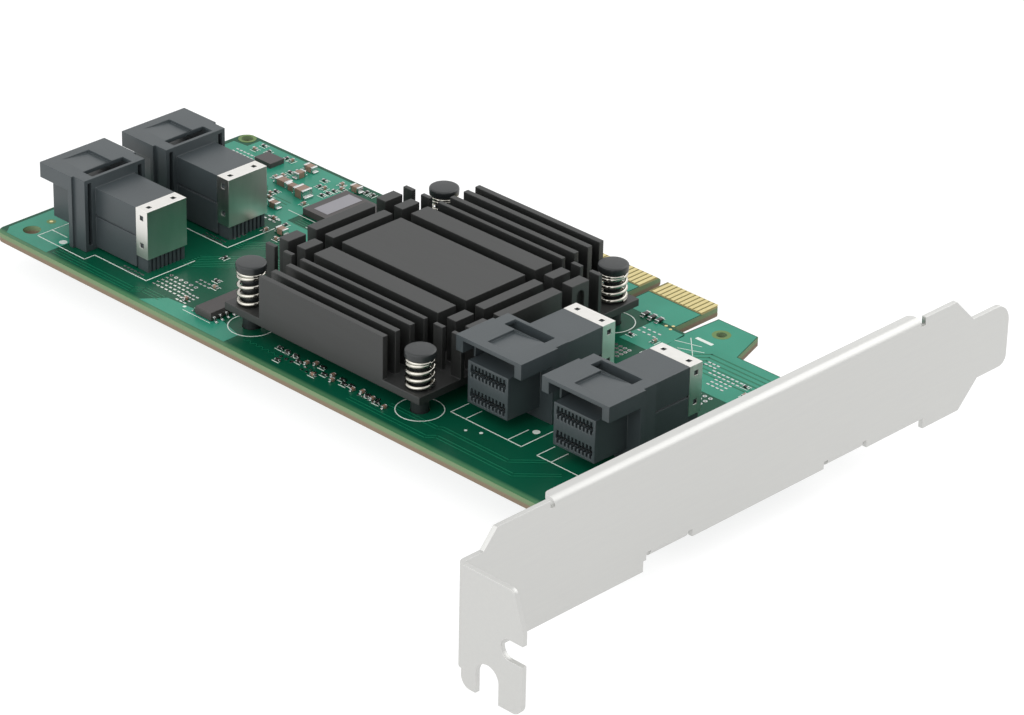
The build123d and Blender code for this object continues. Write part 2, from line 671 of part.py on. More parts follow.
def receptacle_cutters():
    """The latch cavity, its window, the sloped flap pocket, the rear slots and the comb slots."""
    latch_half = LATCH_WIDTH / 2
    roof_z = HOOD_TOP_Z - HOOD_ROOF
    latch = box_between(-latch_half, latch_half, 0, LATCH_DEPTH, NOSE_TOP_Z, roof_z)
    window_half = WINDOW_WIDTH / 2
    window = box_between(-window_half, window_half, WINDOW_START, LATCH_DEPTH, NOSE_TOP_Z, HOOD_TOP_Z)
    ramp = flat_profile([
        (FLAP_LEFT, HOOD_TOP_Z),
        (FLAP_LEFT, HOOD_TOP_Z - FLAP_DEPTH),
        (FLAP_RIGHT, HOOD_TOP_Z),
    ])
    slot_start = HOOD_DEPTH - REAR_SLOT_DEPTH
    slot_left = REAR_SLOT_X - REAR_SLOT_WIDTH / 2
    slot_right = REAR_SLOT_X + REAR_SLOT_WIDTH / 2
    rear_slot = box_between(slot_left, slot_right, slot_start, HOOD_DEPTH, REAR_SLOT_LOW_Z, roof_z)
    cutters = [latch, window, along_y(ramp, FLAP_START, FLAP_END), rear_slot, mirror(rear_slot, Plane.YZ)]
    comb = comb_cutter()
    for comb_z in COMB_ZS:
        cutters.append(Pos(0, 0, comb_z) * comb)
    return cutters


def make_housing():
    """The moulded housing of a receptacle, with its grooved body behind the hood."""
    housing = receptacle_shell()
    for cutter in receptacle_cutters():
        housing -= cutter
    half = BODY_WIDTH / 2
    body = box_between(-half, half, HOOD_DEPTH, BODY_END, BODY_LOW_Z, BODY_TOP_Z)
    low = BODY_GROOVE_Z - BODY_GROOVE_HEIGHT / 2
    groove_x = half - BODY_GROOVE_DEPTH
    groove = box_between(groove_x, half, HOOD_DEPTH, BODY_END, low, low + BODY_GROOVE_HEIGHT)
    return housing + (body - groove - mirror(groove, Plane.YZ))


def make_cover():
    """The bright metal cover behind a receptacle: a top, a back and two sides."""
    half = BODY_WIDTH / 2
    end = BODY_END + COVER_DEPTH
    cover = box_between(-half, half, BODY_END, end, COVER_LOW_Z, BODY_TOP_Z)
    inner = half - COVER_SHEET
    cover -= box_between(-inner, inner, BODY_END, end - COVER_SHEET, COVER_LOW_Z, BODY_TOP_Z - COVER_SHEET)
    mid_y = BODY_END + COVER_DEPTH / 2
    hole = Box(COVER_HOLE_SIZE, COVER_HOLE_SIZE, COVER_SHEET * 4)
    for side in (-1, 1):
        cover -= Pos(side * COVER_HOLE_SPACING / 2, mid_y, BODY_TOP_Z) * hole
    side_hole = Box(BODY_WIDTH * 2, COVER_HOLE_SIZE, COVER_HOLE_SIZE)
    for side_z in COVER_SIDE_ZS:
        cover -= Pos(0, mid_y, side_z) * side_hole
    return cover


def make_wafers():
    """The stacked wafers inside the cover, whose ribbed feet reach the board."""
    half = BODY_WIDTH / 2 - COVER_SHEET - WAFER_CLEARANCE
    end = BODY_END + COVER_DEPTH - COVER_SHEET - WAFER_CLEARANCE
    top = BODY_TOP_Z - COVER_SHEET - WAFER_CLEARANCE
    wafers = box_between(-half, half, BODY_END, end, 0, top)
    pitch = 2 * half / WAFER_RIBS
    for index in range(1, WAFER_RIBS):
        mid = -half + index * pitch
        gap = (pitch - WAFER_RIB_WIDTH) / 2
        wafers -= box_between(mid - gap, mid + gap, end - WAFER_RIB_DEPTH, end, 0, COVER_LOW_Z)
    return wafers


def make_comb():
    """The contacts in both comb slots of a receptacle."""
    blades = []
    for comb_z in COMB_ZS:
        low = comb_z - COMB_HEIGHT / 2
        for index in range(COMB_COUNT):
            mid = (index - (COMB_COUNT - 1) / 2) * COMB_PITCH
            half = COMB_CONTACT_WIDTH / 2
            high = low + COMB_CONTACT_HEIGHT
            blades.append(box_between(mid - half, mid + half, COMB_CONTACT_SETBACK, COMB_DEPTH, low, high))
    return Compound(children=blades)


def make_chip(x, y, size):
    """A plain chip package, soldered on the board."""
    length, depth, height = size
    return Pos(x, y, height / 2) * Box(length, depth, height)


def make_leaded_chip():
    """A chip package with bent leads along both long sides."""
    length, depth, height = LEADED_SIZE
    chip = box_between(-length / 2, length / 2, -depth / 2, depth / 2, CHIP_STANDOFF, height)
    lead = make_lead(length / 2, (CHIP_STANDOFF + height) / 2)
    for index in range(LEAD_COUNT):
        right = Pos(0, (index - (LEAD_COUNT - 1) / 2) * LEAD_PITCH, 0) * lead
        chip = chip + right + mirror(right, Plane.YZ)
    return Pos(LEADED_X, LEADED_MIDDLE_Y, 0) * chip


def make_lead(side_x, top_z):
    """One bent lead, from the package's side down to its foot."""
    drop_x = side_x + LEAD_REACH / 2
    low_x = side_x - LEAD_THICK
    profile = flat_profile([
        (low_x, top_z),
        (drop_x, top_z),
        (drop_x, LEAD_THICK),
        (side_x + LEAD_REACH, LEAD_THICK),
        (side_x + LEAD_REACH, 0),
        (drop_x - LEAD_THICK, 0),
        (drop_x - LEAD_THICK, top_z - LEAD_THICK),
        (low_x, top_z - LEAD_THICK),
    ])
    return along_y(profile, -LEAD_WIDTH / 2, LEAD_WIDTH / 2)


def make_capacitors(places):
    """A group of ceramic capacitors."""
    length, width, height = CAP_SIZE
    body = Pos(0, 0, height / 2) * Box(length, width, height)
    return Compound(children=[Pos(x, y, 0) * Rot(0, 0, turn) * body for x, y, turn in places])


def make_resistors():
    """The row of chip resistors between the heatsink and the tongue."""
    length, width, height = RESISTOR_SIZE
    body = Pos(0, 0, height / 2) * Box(width, length, height)
    row = []
    for index in range(RESISTOR_COUNT):
        x = SINK_RIGHT_X + RESISTOR_FIRST + index * RESISTOR_PITCH
        row.append(Pos(x, BOARD_DEPTH, 0) * body)
    return Compound(children=row)


def receptacle_nodes():
    """Every piece of the four receptacles, in place."""
    kinds = (
        ("receptacle_housing", make_housing()),
        ("receptacle_cover", make_cover()),
        ("receptacle_wafers", make_wafers()),
        ("receptacle_contacts", make_comb()),
    )
    nodes = {}
    for letter, x, y, turn in RECEPTACLES:
        for kind, shape in kinds:
            nodes[f"{kind}_{letter}"] = Pos(x, y, 0) * Rot(0, 0, turn) * shape
    return nodes


def pin_nodes():
    """The push pins and their springs."""
    nodes = {}
    for name, side_x, side_y, proud in PIN_PLACES:
        nodes[f"push_pin_{name}"] = make_push_pin(side_x, side_y, proud)
        nodes[f"pin_spring_{name}"] = make_spring(side_x, side_y, proud)
    return nodes


def all_nodes():
    """Every node of the card by name."""
    nodes = {
        "circuit_board": make_board(),
        "edge_contacts_top": make_contacts(0),
        "edge_contacts_bottom": make_contacts(-BOARD_THICK - CONTACT_THICK),
        "mounting_bracket": make_bracket(),
        "bracket_screw_front": make_bracket_screw(EAR_YS[0]),
        "bracket_screw_rear": make_bracket_screw(EAR_YS[1]),
        "heatsink": make_heatsink(),
        "switch_chip": make_switch_chip(),
        "thermal_pad": make_thermal_pad(),
        "controller_chip": make_chip(CONTROLLER_X, CONTROLLER_Y, CONTROLLER_SIZE),
        "leaded_chip": make_leaded_chip(),
        "flat_chip": make_chip(BOARD_FAR_X + FLAT_FROM_END, BOARD_DEPTH - FLAT_INSET, FLAT_SIZE),
        "inductor": make_chip(INDUCTOR_X, BOARD_DEPTH - INDUCTOR_INSET, INDUCTOR_SIZE),
        "capacitors_rear": make_capacitors(REAR_CAPS),
        "capacitors_left": make_capacitors(LEFT_CAPS),
        "resistors_right": make_resistors(),
    }
    nodes.update(pin_nodes())
    nodes.update(receptacle_nodes())
    return nodes


os.makedirs("parts", exist_ok=True)
for node_name, shape in all_nodes().items():
    export_step(shape, f"parts/{node_name}.step")
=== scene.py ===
"""Dresses the storage adapter card: its finishes, printing, copper, small parts, camera and light."""

import json
import math

import bmesh
import bpy
from mathutils import Matrix, Vector


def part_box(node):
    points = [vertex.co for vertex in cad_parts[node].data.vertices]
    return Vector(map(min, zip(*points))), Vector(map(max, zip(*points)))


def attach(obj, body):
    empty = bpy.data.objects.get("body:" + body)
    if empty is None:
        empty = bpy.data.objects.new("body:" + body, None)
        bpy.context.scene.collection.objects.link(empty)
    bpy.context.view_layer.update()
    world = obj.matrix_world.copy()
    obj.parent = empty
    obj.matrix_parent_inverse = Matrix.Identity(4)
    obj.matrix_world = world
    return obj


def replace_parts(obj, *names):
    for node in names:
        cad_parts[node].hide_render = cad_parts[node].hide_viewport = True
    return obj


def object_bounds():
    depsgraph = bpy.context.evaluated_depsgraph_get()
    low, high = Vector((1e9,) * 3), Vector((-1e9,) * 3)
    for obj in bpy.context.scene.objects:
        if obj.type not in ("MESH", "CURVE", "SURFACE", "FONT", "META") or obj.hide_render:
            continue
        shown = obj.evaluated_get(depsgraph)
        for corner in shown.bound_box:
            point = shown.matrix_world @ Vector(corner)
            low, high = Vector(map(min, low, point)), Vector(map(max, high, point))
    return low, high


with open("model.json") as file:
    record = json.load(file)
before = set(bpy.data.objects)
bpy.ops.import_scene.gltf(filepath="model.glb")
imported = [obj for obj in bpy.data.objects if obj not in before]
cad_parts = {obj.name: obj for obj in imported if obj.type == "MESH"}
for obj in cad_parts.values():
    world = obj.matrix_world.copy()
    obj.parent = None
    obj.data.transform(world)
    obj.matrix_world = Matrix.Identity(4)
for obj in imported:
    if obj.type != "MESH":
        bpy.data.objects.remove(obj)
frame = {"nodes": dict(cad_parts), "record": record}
cad_low, cad_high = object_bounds()
NODES = frame["nodes"]

# Places and sizes are in millimetres, and this turns them into Blender's metres
MM = 0.001

# The photograph's frame, and the camera fitted to it: where it stands, which way it looks, its long lens
IMAGE_WIDTH = 1024
IMAGE_HEIGHT = 715
CENTRE_PIXEL = (510.33, 355.69)
CAMERA_PLACE = (354.68, -392.18, 310.08)
CAMERA_AZIMUTH = 44.09
CAMERA_ELEVATION = 27.79
CAMERA_ROLL = 1.294
CAMERA_LENS = 149.9
SENSOR_WIDTH = 36.0
CLIP_NEAR = 10.0
CLIP_FAR = 20000.0

# Soft lamps: where each stands, what it aims at, its width and height, and its power in watts
LAMPS = {
    "key_lamp": ((-120, -400, 330), (-60, 25, 0), (700, 700), 1.0),
    "front_lamp": ((60, -480, 170), (-60, 20, 5), (900, 300), 0.6),
    "back_lamp": ((40, 320, 260), (-30, 50, 0), (500, 300), 0.5),
}

# The studio: its white, how strongly it lights the card, and half the floor's width
STUDIO_WHITE = "#FFFFFF"
STUDIO_LIGHT = 0.75
FLOOR_REACH = 2500.0

# The floor's tone as it lights the card, then the dull tone and the glow that the eye sees together
FLOOR_TONE = "#E6E6E6"
FLOOR_SHADE = "#8E8E8E"
FLOOR_GLOW = 0.84

# The board's faces, from the frame, and the heights of what lies on it: copper, ink and pads
board_low, board_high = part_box("circuit_board")
BOARD_TOP = board_high.z / MM
BOARD_BOTTOM = board_low.z / MM
POUR_HEIGHT = 0.012
TRACK_HEIGHT = 0.024
INK_HEIGHT = 0.04
PAD_HEIGHT = 0.05

# How many sides a round outline has, from the smallest up
TAIL_SIDES = 10
DOT_SIDES = 12
DISC_SIDES = 24
LAND_SIDES = 32
PIN_SIDES = 40
RING_SIDES = 64

# A disc is a ring round a hole too small to see
PINHOLE = 0.02

# The four push pins, each with its spring; their places come from the frame
PIN_NAMES = ("front_left", "front_right", "rear_left", "rear_right")

# A pin's outline: radius and height of its barb and shaft, then radius and depth below its top
PIN_SHAFT_R = 1.45
PIN_HEAD_R = 2.5
PIN_FOOT = (
    (0.95, -3.8), (1.3, -3.4), (1.95, -2.3), (1.98, -1.7), (PIN_SHAFT_R, -1.62), (PIN_SHAFT_R, 3.0),
)
PIN_HEAD = (
    (PIN_SHAFT_R, 2.2), (1.9, 1.5), (2.3, 1.3), (2.46, 1.2), (PIN_HEAD_R, 0.5),
    (PIN_HEAD_R, 0.32), (2.44, 0.14), (2.3, 0.03), (2.1, 0.0), (0.3, 0.0),
)
PIN_SHARP_ANGLE = 30

# Springs: the height they start from, how far below the head's top they end, and their coils
SPRING_LOW_Z = 4.2
SPRING_END_DEPTH = 1.3
SPRING_R = 2.08
WIRE_R = 0.33
WIRE_SMOOTHNESS = 3
SPRING_TURNS = 5.0
POINTS_A_TURN = 28

# Each end of a spring lies nearly flat: for how many turns, and how far those turns lift
FLAT_TURNS = 0.8
FLAT_LIFT = 0.12

# White printed lines: width, then the corners of each run
INK_LINES = (
    # Round the two receptacles at the right
    (0.16, ((-48.0, 14.6), (-48.0, 10.8), (-33.0, 10.8), (-33.0, 17.6))),
    (0.16, ((-44.9, 10.8), (-44.9, 14.3))),
    (0.16, ((-35.9, 10.8), (-35.9, 15.3))),
    (0.16, ((-29.5, 14.4), (-29.5, 10.6), (-14.6, 10.6), (-14.6, 14.4))),
    (0.16, ((-26.6, 10.6), (-26.6, 14.3))),
    (0.16, ((-17.5, 10.6), (-17.5, 14.3))),
    # Round the two receptacles at the left
    (0.16, ((-137.4, 18.0), (-137.4, 3.8), (-125.6, 3.8), (-125.6, 6.0), (-112.9, 6.0), (-112.9, 16.4))),
    (0.16, ((-137.3, 6.9), (-133.6, 6.9))),
    (0.16, ((-125.6, 21.4), (-125.6, 23.5), (-112.9, 23.5), (-112.9, 33.9))),
    (0.16, ((-137.4, 36.0), (-137.4, 37.6), (-125.6, 37.6))),
    # Crossed strokes and a bar by the hook
    (0.12, ((-39.4, 55.4), (-35.2, 51.2))),
    (0.12, ((-40.6, 53.0), (-36.2, 54.4))),
    (0.12, ((-38.6, 51.4), (-34.6, 53.2))),
    (0.7, ((-38.6, 56.1), (-35.7, 56.1))),
    # In front of the leaded chip and of the controller chip
    (0.12, ((-101.3, 3.6), (-94.9, 3.6))),
    (0.12, ((-116.5, 40.4), (-103.0, 40.4))),
)

# White printed dots: x, y and radius
INK_DOTS = (
    (-132.7, 5.3, 0.7), (-40.1, 9.4, 0.3), (-42.3, 8.3, 0.24),
    (-101.9, 4.5, 0.3), (-116.9, 53.6, 0.3), (-34.6, 15.7, 0.62),
)

# The white ring round each pin: inner and outer radius
PIN_RING = (3.72, 3.88)

# White bars beside the small parts: distance from the middle, length and width
BAR_DISTANCE = 0.55
BAR_LENGTH = 1.5
BAR_WIDTH = 0.13

# In front of this the small parts stand in a crowded row, with fewer bars
CROWDED_Y = 9.0

# Copper pours under the mask, lighter than the board beside them: the corners of each
POURS = (
    ((-108.9, 1.0), (-88.8, 1.0), (-88.8, 4.2), (-94.0, 5.6), (-106.0, 4.6)),
    (
        (-135.7, 38.4), (-130.6, 38.4), (-128.8, 36.6), (-114.0, 36.6), (-111.6, 33.4),
        (-105.4, 33.4), (-105.4, 37.6), (-113.8, 37.6), (-113.8, 55.2), (-139.8, 55.2),
        (-139.8, 52.3), (-142.9, 52.0), (-142.9, 44.2), (-135.7, 44.2),
    ),
    ((-95.6, 56.2), (-57.4, 56.2), (-57.4, 62.4), (-95.6, 62.4)),
    ((-57.4, 56.2), (-55.0, 56.2), (-55.0, 58.3), (-57.4, 58.3)),
    ((-55.0, 56.2), (-43.8, 56.2), (-43.8, 62.4), (-55.0, 62.4)),
    ((-47.4, 47.4), (-40.6, 47.4), (-40.6, 55.3), (-47.4, 55.3)),
    ((-34.6, 20.0), (-31.4, 20.0), (-31.4, 42.6), (-34.6, 42.6)),
)

# The two pours that a hole passes through, and x, y and radius of each pour's round opening
HOOK_HOLE = (-36.8, 59.7, 0.87)
HOOK_POUR = (
    (-39.6, 43.6), (-2.2, 43.6), (-2.2, 55.8), (-30.1, 55.8),
    (-32.5, 63.3), (-40.6, 63.3), (-41.0, 56.1),
)
CORNER_HOLE = (-139.7, 4.5, 1.52)
CORNER_POUR = (
    (-143.2, 2.6), (-141.8, 0.9), (-131.8, 0.9), (-131.8, 8.0),
    (-136.0, 12.0), (-136.0, 44.0), (-143.2, 44.0),
)

# Bundles of tracks: width, spacing, how many, and the corners of the first; the rest lie beside it
TRACKS = (
    (0.22, 0.62, 7, ((-113.6, 14.6), (-112.0, 14.6), (-103.0, 23.4), (-94.2, 23.4))),
    (0.22, 0.62, 5, ((-113.0, 24.8), (-111.2, 24.8), (-105.4, 30.4), (-94.2, 30.4))),
    (0.2, 0.7, 2, ((-62.0, 2.2), (-45.0, 2.2), (-43.8, 3.4), (-27.7, 3.4), (-22.5, 8.6))),
    (0.2, 0.7, 2, ((-56.0, 5.4), (-45.6, 5.4), (-45.1, 5.9), (-31.1, 5.9), (-26.9, 10.1))),
    (0.2, 0.7, 3, ((-131.0, 1.7), (-112.0, 1.7), (-110.6, 3.0), (-106.6, 3.0))),
    (0.3, 1.1, 6, ((-37.6, 45.0), (-34.6, 45.0), (-31.2, 48.2), (-4.6, 48.2))),
    (0.2, 0.6, 4, ((-112.4, 37.6), (-107.0, 37.6), (-104.0, 34.8), (-94.2, 34.8))),
    (0.24, 0.9, 3, ((-131.0, 42.2), (-126.4, 42.2), (-124.6, 40.6), (-118.2, 40.6))),
)

# How much longer each stretch of a run is than the way between its corners, as a share of its width
CORNER_REACH = 0.8

# A track that winds to and fro to gain length: its start, step, swing, number of points and width
WINDING_START = (-87.0, 3.7)
WINDING_STEP = 0.35
WINDING_SWING = 0.5
WINDING_POINTS = 26
WINDING_WIDTH = 0.12

# Fields of plated vias: x and y of the first, steps in x and y, columns and rows
VIA_FIELDS = (
    (-46.0, 42.4, 0.95, 0.95, 4, 4),
    (-31.0, 38.2, 1.1, 1.1, 1, 4),
    (-26.0, 40.4, 1.15, 1.15, 3, 3),
    (-111.6, 10.2, 1.2, 1.2, 6, 1),
    (-79.0, 4.2, 1.25, 1.25, 3, 2),
    (-61.6, 4.4, 1.1, 1.1, 4, 2),
    (-101.2, 26.4, 1.2, 1.2, 5, 2),
    (-115.8, 26.6, 1.1, 1.1, 2, 3),
    (-139.6, 38.6, 1.2, 1.2, 2, 4),
    (-92.0, 57.9, 1.3, 1.3, 3, 3),
    (-60.0, 54.9, 1.2, 1.2, 6, 1),
)

# A via's plated ring, and the dark disc at its middle that paints the shade inside its hole: inner and
# outer radius of each
VIA_RING = (0.17, 0.36)
VIA_HOLE_SHADE = (0.01, 0.18)

# Gold marks: a round spot at the left front corner and three dots by the tongue
GOLD_SPOT = (-139.9, 8.8)
GOLD_SPOT_R = 0.32
GOLD_DOTS = ((-44.9, 55.6), (-44.0, 56.3), (-43.6, 55.2))
GOLD_DOT_R = 0.28

# Olive lands round holes and round the gold spot: x, y, inner and outer radius, height and sides
LANDS = (
    (-142.0, 54.3, 1.06, 1.6, PAD_HEIGHT, LAND_SIDES),
    (*GOLD_SPOT, 0.34, 0.8, TRACK_HEIGHT, DISC_SIDES),
    (*HOOK_HOLE, 1.55, TRACK_HEIGHT, LAND_SIDES),
)

# Bare tinned pads in rows: x and y of the first, steps in x and y, columns and rows
PAD_FIELDS = (
    (-111.4, 6.3, 1.0, 0.95, 7, 4),
    (-104.6, 5.3, 0.9, 0.9, 3, 4),
    (-140.0, 49.3, 0.9, 0.95, 8, 2),
    (-29.4, 48.9, 0.95, 0.95, 7, 2),
    (-107.0, 11.6, 0.95, 0.95, 4, 2),
    (-73.6, 3.6, 1.1, 0.9, 3, 2),
    (-119.2, 6.2, 0.85, 0.8, 6, 2),
    (-119.2, 23.9, 0.85, 0.8, 6, 2),
    (-46.9, 51.4, 1.1, 1.25, 4, 2),
    (-31.8, 50.6, 0.9, 0.85, 3, 2),
    (-27.2, 46.0, 0.95, 0.95, 4, 3),
    (-117.0, 35.6, 1.1, 1.0, 3, 2),
)
PAD_LENGTH = 0.6
PAD_WIDTH = 0.34

# Small parts of each kind: length, width and height, then x, y and turn of each
SMALL_SIZES = {"resistor": (1.0, 0.5, 0.34), "capacitor": (1.0, 0.5, 0.5)}
SMALL_PARTS = {
    "resistor": (
        (-80.9, 5.9, 0), (-75.6, 4.9, 0), (-69.8, 4.9, 0), (-65.4, 4.9, 0), (-57.6, 4.5, 0),
        (-78.3, 2.9, 0), (-79.2, 5.9, 0), (-77.3, 5.9, 0), (-71.6, 6.3, 0), (-66.6, 5.8, 0),
        (-64.2, 5.4, 0), (-60.2, 4.9, 0), (-105.0, 14.2, 0), (-112.6, 36.0, 90), (-109.0, 38.6, 0),
        (-103.4, 38.4, 0), (-116.6, 48.2, 0), (-116.5, 49.5, 0), (-116.4, 50.8, 0), (-112.4, 54.3, 90),
        (-110.9, 54.3, 90), (-133.6, 43.2, 0), (-131.4, 53.6, 90), (-119.6, 50.2, 90), (-123.0, 43.6, 0),
        (-126.2, 51.6, 0), (-137.7, 54.3, 0), (-135.4, 53.2, 90), (-129.0, 44.6, 0), (-120.5, 52.4, 0),
        # The resistor at (-46.6, 49.3) stands in a dark line of shadow: partly a real part, partly a
        # painted shadow
        (-126.8, 50.4, 0), (-46.6, 49.3, 0), (-41.0, 46.6, 90), (-31.4, 45.4, 0), (-22.4, 49.4, 0),
        (-18.4, 44.8, 0), (-97.6, 20.6, 0), (-98.6, 40.8, 0), (-110.3, 20.6, 90),
    ),
    "capacitor": (
        (-73.2, 6.3, 90), (-67.6, 4.4, 90), (-63.2, 4.6, 90), (-55.8, 4.2, 90), (-70.9, 3.5, 0),
        (-74.4, 5.4, 90), (-68.6, 5.6, 90), (-61.6, 5.2, 90), (-59.0, 4.8, 90), (-103.6, 6.3, 90),
        (-103.4, 12.4, 0), (-115.6, 36.4, 0), (-113.4, 32.4, 90), (-106.4, 38.8, 90), (-116.0, 52.2, 0),
        (-133.6, 41.9, 0), (-130.0, 53.6, 90), (-118.3, 50.2, 90), (-123.0, 42.4, 0), (-126.6, 48.6, 0),
        (-116.3, 43.6, 90), (-137.7, 52.2, 0), (-127.2, 47.2, 90), (-122.0, 41.2, 0), (-117.4, 53.4, 90),
        (-42.4, 50.2, 90), (-29.2, 44.2, 90), (-20.6, 47.0, 90), (-30.9, 35.2, 90), (-95.4, 36.8, 90),
        (-109.6, 31.4, 0),
    ),
}

# The larger parts that stand for CAD nodes: length, width, height, x, y and turn of each
CERAMIC_PARTS = {
    "capacitors_rear": (
        (3.0, 1.6, 1.1, -124.2, 46.4, 0),
        (2.2, 1.3, 1.1, -121.6, 46.1, 0),
        (2.2, 1.3, 1.1, -125.1, 53.4, 0),
        (2.0, 1.25, 1.1, -124.6, 50.4, 90),
        (2.0, 1.25, 1.1, -114.0, 53.6, 0),
    ),
    "inductor": (
        (2.5, 2.2, 1.6, -118.8, 45.73, 0),
    ),
    "capacitors_left": (
        (2.0, 1.25, 1.1, -118.9, 39.4, 0),
        (2.0, 1.25, 1.1, -110.7, 33.6, 0),
    ),
    "resistors_right": (
        (1.6, 0.8, 0.5, -49.7, 55.95, 90),
        (1.6, 0.8, 0.5, -48.2, 55.95, 90),
        (1.6, 0.8, 0.5, -46.7, 55.95, 90),
    ),
}

# A part's metal ends: their length as a share of the part's, and how much larger than the body they are
END_LENGTH = 0.2
END_SWELL = 1.03

# The solder at each end: its reach and length as shares of the end's, its width and height of the part's
SOLDER_REACH = 0.4
SOLDER_LENGTH = 0.8
SOLDER_WIDTH = 0.9
SOLDER_HEIGHT = 0.3

# The label on the controller chip, whose pale grey is a painted sheen: its corners and its thickness
LABEL = ((-112.2, 42.2), (-109.0, 42.2), (-109.0, 50.2), (-112.2, 50.2))
LABEL_THICKNESS = 0.03

# The leaded chip's moulding: its size, and the height and inset of each level of its drafted sides
LEADED_LENGTH = 3.9
LEADED_DEPTH = 9.9
LEADED_LEVELS = ((0.1, 0.1), (0.85, 0.0), (1.5, 0.18))

# Its leads: how many on a side, their spacing, their way out and down, and their half width and thickness
LEADS_A_SIDE = 8
LEAD_SPACING = 1.27
LEAD_PATH = ((-0.1, 0.85), (0.28, 0.83), (0.5, 0.62), (0.58, 0.2), (0.74, 0.08), (1.04, 0.08))
LEAD_HALF_WIDTH = 0.2
LEAD_HALF_THICKNESS = 0.08

# Soldered tails under the receptacles: x and y of the first, its row's step and the step between rows
TAIL_SPACING = 0.93
ROW_SPACING = 2.1
TAIL_FIELDS = (
    (-117.2, 8.1, (0, TAIL_SPACING), (-ROW_SPACING, 0)),
    (-117.2, 25.6, (0, TAIL_SPACING), (-ROW_SPACING, 0)),
    (-45.4, 32.7, (TAIL_SPACING, 0), (0, -ROW_SPACING)),
    (-27.3, 32.7, (TAIL_SPACING, 0), (0, -ROW_SPACING)),
)
TAIL_ROWS = 3
TAILS_A_ROW = 9

# A tail's outline: its radius and how far below the board that is
TAIL_OUTLINE = ((0.42, 0.0), (0.3, 0.25), (0.16, 0.7), (0.08, 0.85))

# How wide the CAD nodes' sharp edges are rounded, by the start of their names
EDGE_WIDTHS = {
    "mounting_bracket": 0.12,
    "heatsink": 0.1,
    "receptacle_housing_": 0.08,
    "receptacle_cover_": 0.04,
    "controller_chip": 0.08,
    "flat_chip": 0.06,
    "bracket_screw_": 0.1,
}

# Nodes with windows through their flat faces, which keep their facets
PIERCED = "receptacle_housing_"

# Points nearer than this are joined, and an edge is flat up to one angle and sharp past the other
WELD_DISTANCE = 0.002
FLAT_ANGLE = 0.5
SHARP_ANGLE = 35

# How many facets a rounded edge has, and how fully its large faces set the shading
BEVEL_SEGMENTS = 2
FULL_WEIGHT = 100

# The sockets of a colour mix: its share, its two colours and its result
MIX_SHARE = 0
MIX_FIRST = 6
MIX_SECOND = 7
MIX_RESULT = 2

# The board's colours: mask, bare laminate, rim, and the layers and dust of its cut edge
MASK_DARK = "#06462F"
MASK_LIGHT = "#0B5B44"
BARE_LAMINATE = "#877F50"
RIM_OLIVE = "#4F7F5A"
CUT_DARK = "#708A66"
CUT_LIGHT = "#8A9C7A"
CUT_DUST = "#8A7A68"

# Where the board's colours change: mask to bare tongue, tongue to hook, rim to mask, clean to dusty edge
MASK_END_Y = 62.6
TONGUE_END_X = -42.0
RIM_START_Y = 1.4
RIM_FULL_Y = 0.6
DUST_START_Z = -0.65
DUST_FULL_Z = -0.95

# A face is a cut edge where its normal's height is less than this
LEVEL_LIMIT = 0.6

# How rough the mask and the cut edge are
MASK_ROUGHNESS = 0.26
CUT_ROUGHNESS = 0.7

# How far a grain swings the roughness of a metal or a moulding
SMOOTHER = 0.85
ROUGHER = 1.15

# A metal's grain: alike every way, drawn out along the bracket, or drawn out up a receptacle's cover
EVEN = (1, 1, 1)
ALONG_BRACKET = (1, 0.06, 1)
UP_COVER = (1, 1, 0.2)

# The heatsink's two blacks, and its extrusion lines, drawn out along the fins
ANODISED_DARK = "#171817"
ANODISED_LIGHT = "#222423"
ALONG_FINS = (0.08, 1.0, 0.5)


def top_middle(node):
    """The middle of a CAD node's top, in millimetres, from the frame."""
    low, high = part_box(node)
    return (low.x + high.x) / 2 / MM, (low.y + high.y) / 2 / MM, high.z / MM


def linear(colour):
    """An sRGB hex colour as linear RGBA."""
    parts = [int(colour[i:i + 2], 16) / 255 for i in (1, 3, 5)]
    return tuple(p / 12.92 if p <= 0.04045 else ((p + 0.055) / 1.055) ** 2.4 for p in parts) + (1.0,)


def add_node(tree, kind, inputs=None, **settings):
    """Adds a node with its settings, its input values and the links to its inputs."""
    made = tree.nodes.new(kind)
    for name, value in settings.items():
        setattr(made, name, value)
    for socket, value in (inputs or {}).items():
        if isinstance(value, bpy.types.NodeSocket):
            tree.links.new(value, made.inputs[socket])
        else:
            made.inputs[socket].default_value = value
    return made


def start_material(name):
    """A material with an empty node tree."""
    material = bpy.data.materials.new(name)
    material.use_nodes = True
    material.node_tree.nodes.clear()
    return material, material.node_tree


def end_material(material, surface):
    """Gives the material its surface shader."""
    add_node(material.node_tree, "ShaderNodeOutputMaterial", {"Surface": surface.outputs[0]})
    return material


def millimetres(tree):
    """The place on the object in millimetres."""
    place = add_node(tree, "ShaderNodeTexCoord")
    scaled = add_node(tree, "ShaderNodeVectorMath", {
        "Vector": place.outputs["Object"],
        "Scale": 1 / MM,
    }, operation="SCALE")
    return scaled.outputs["Vector"]


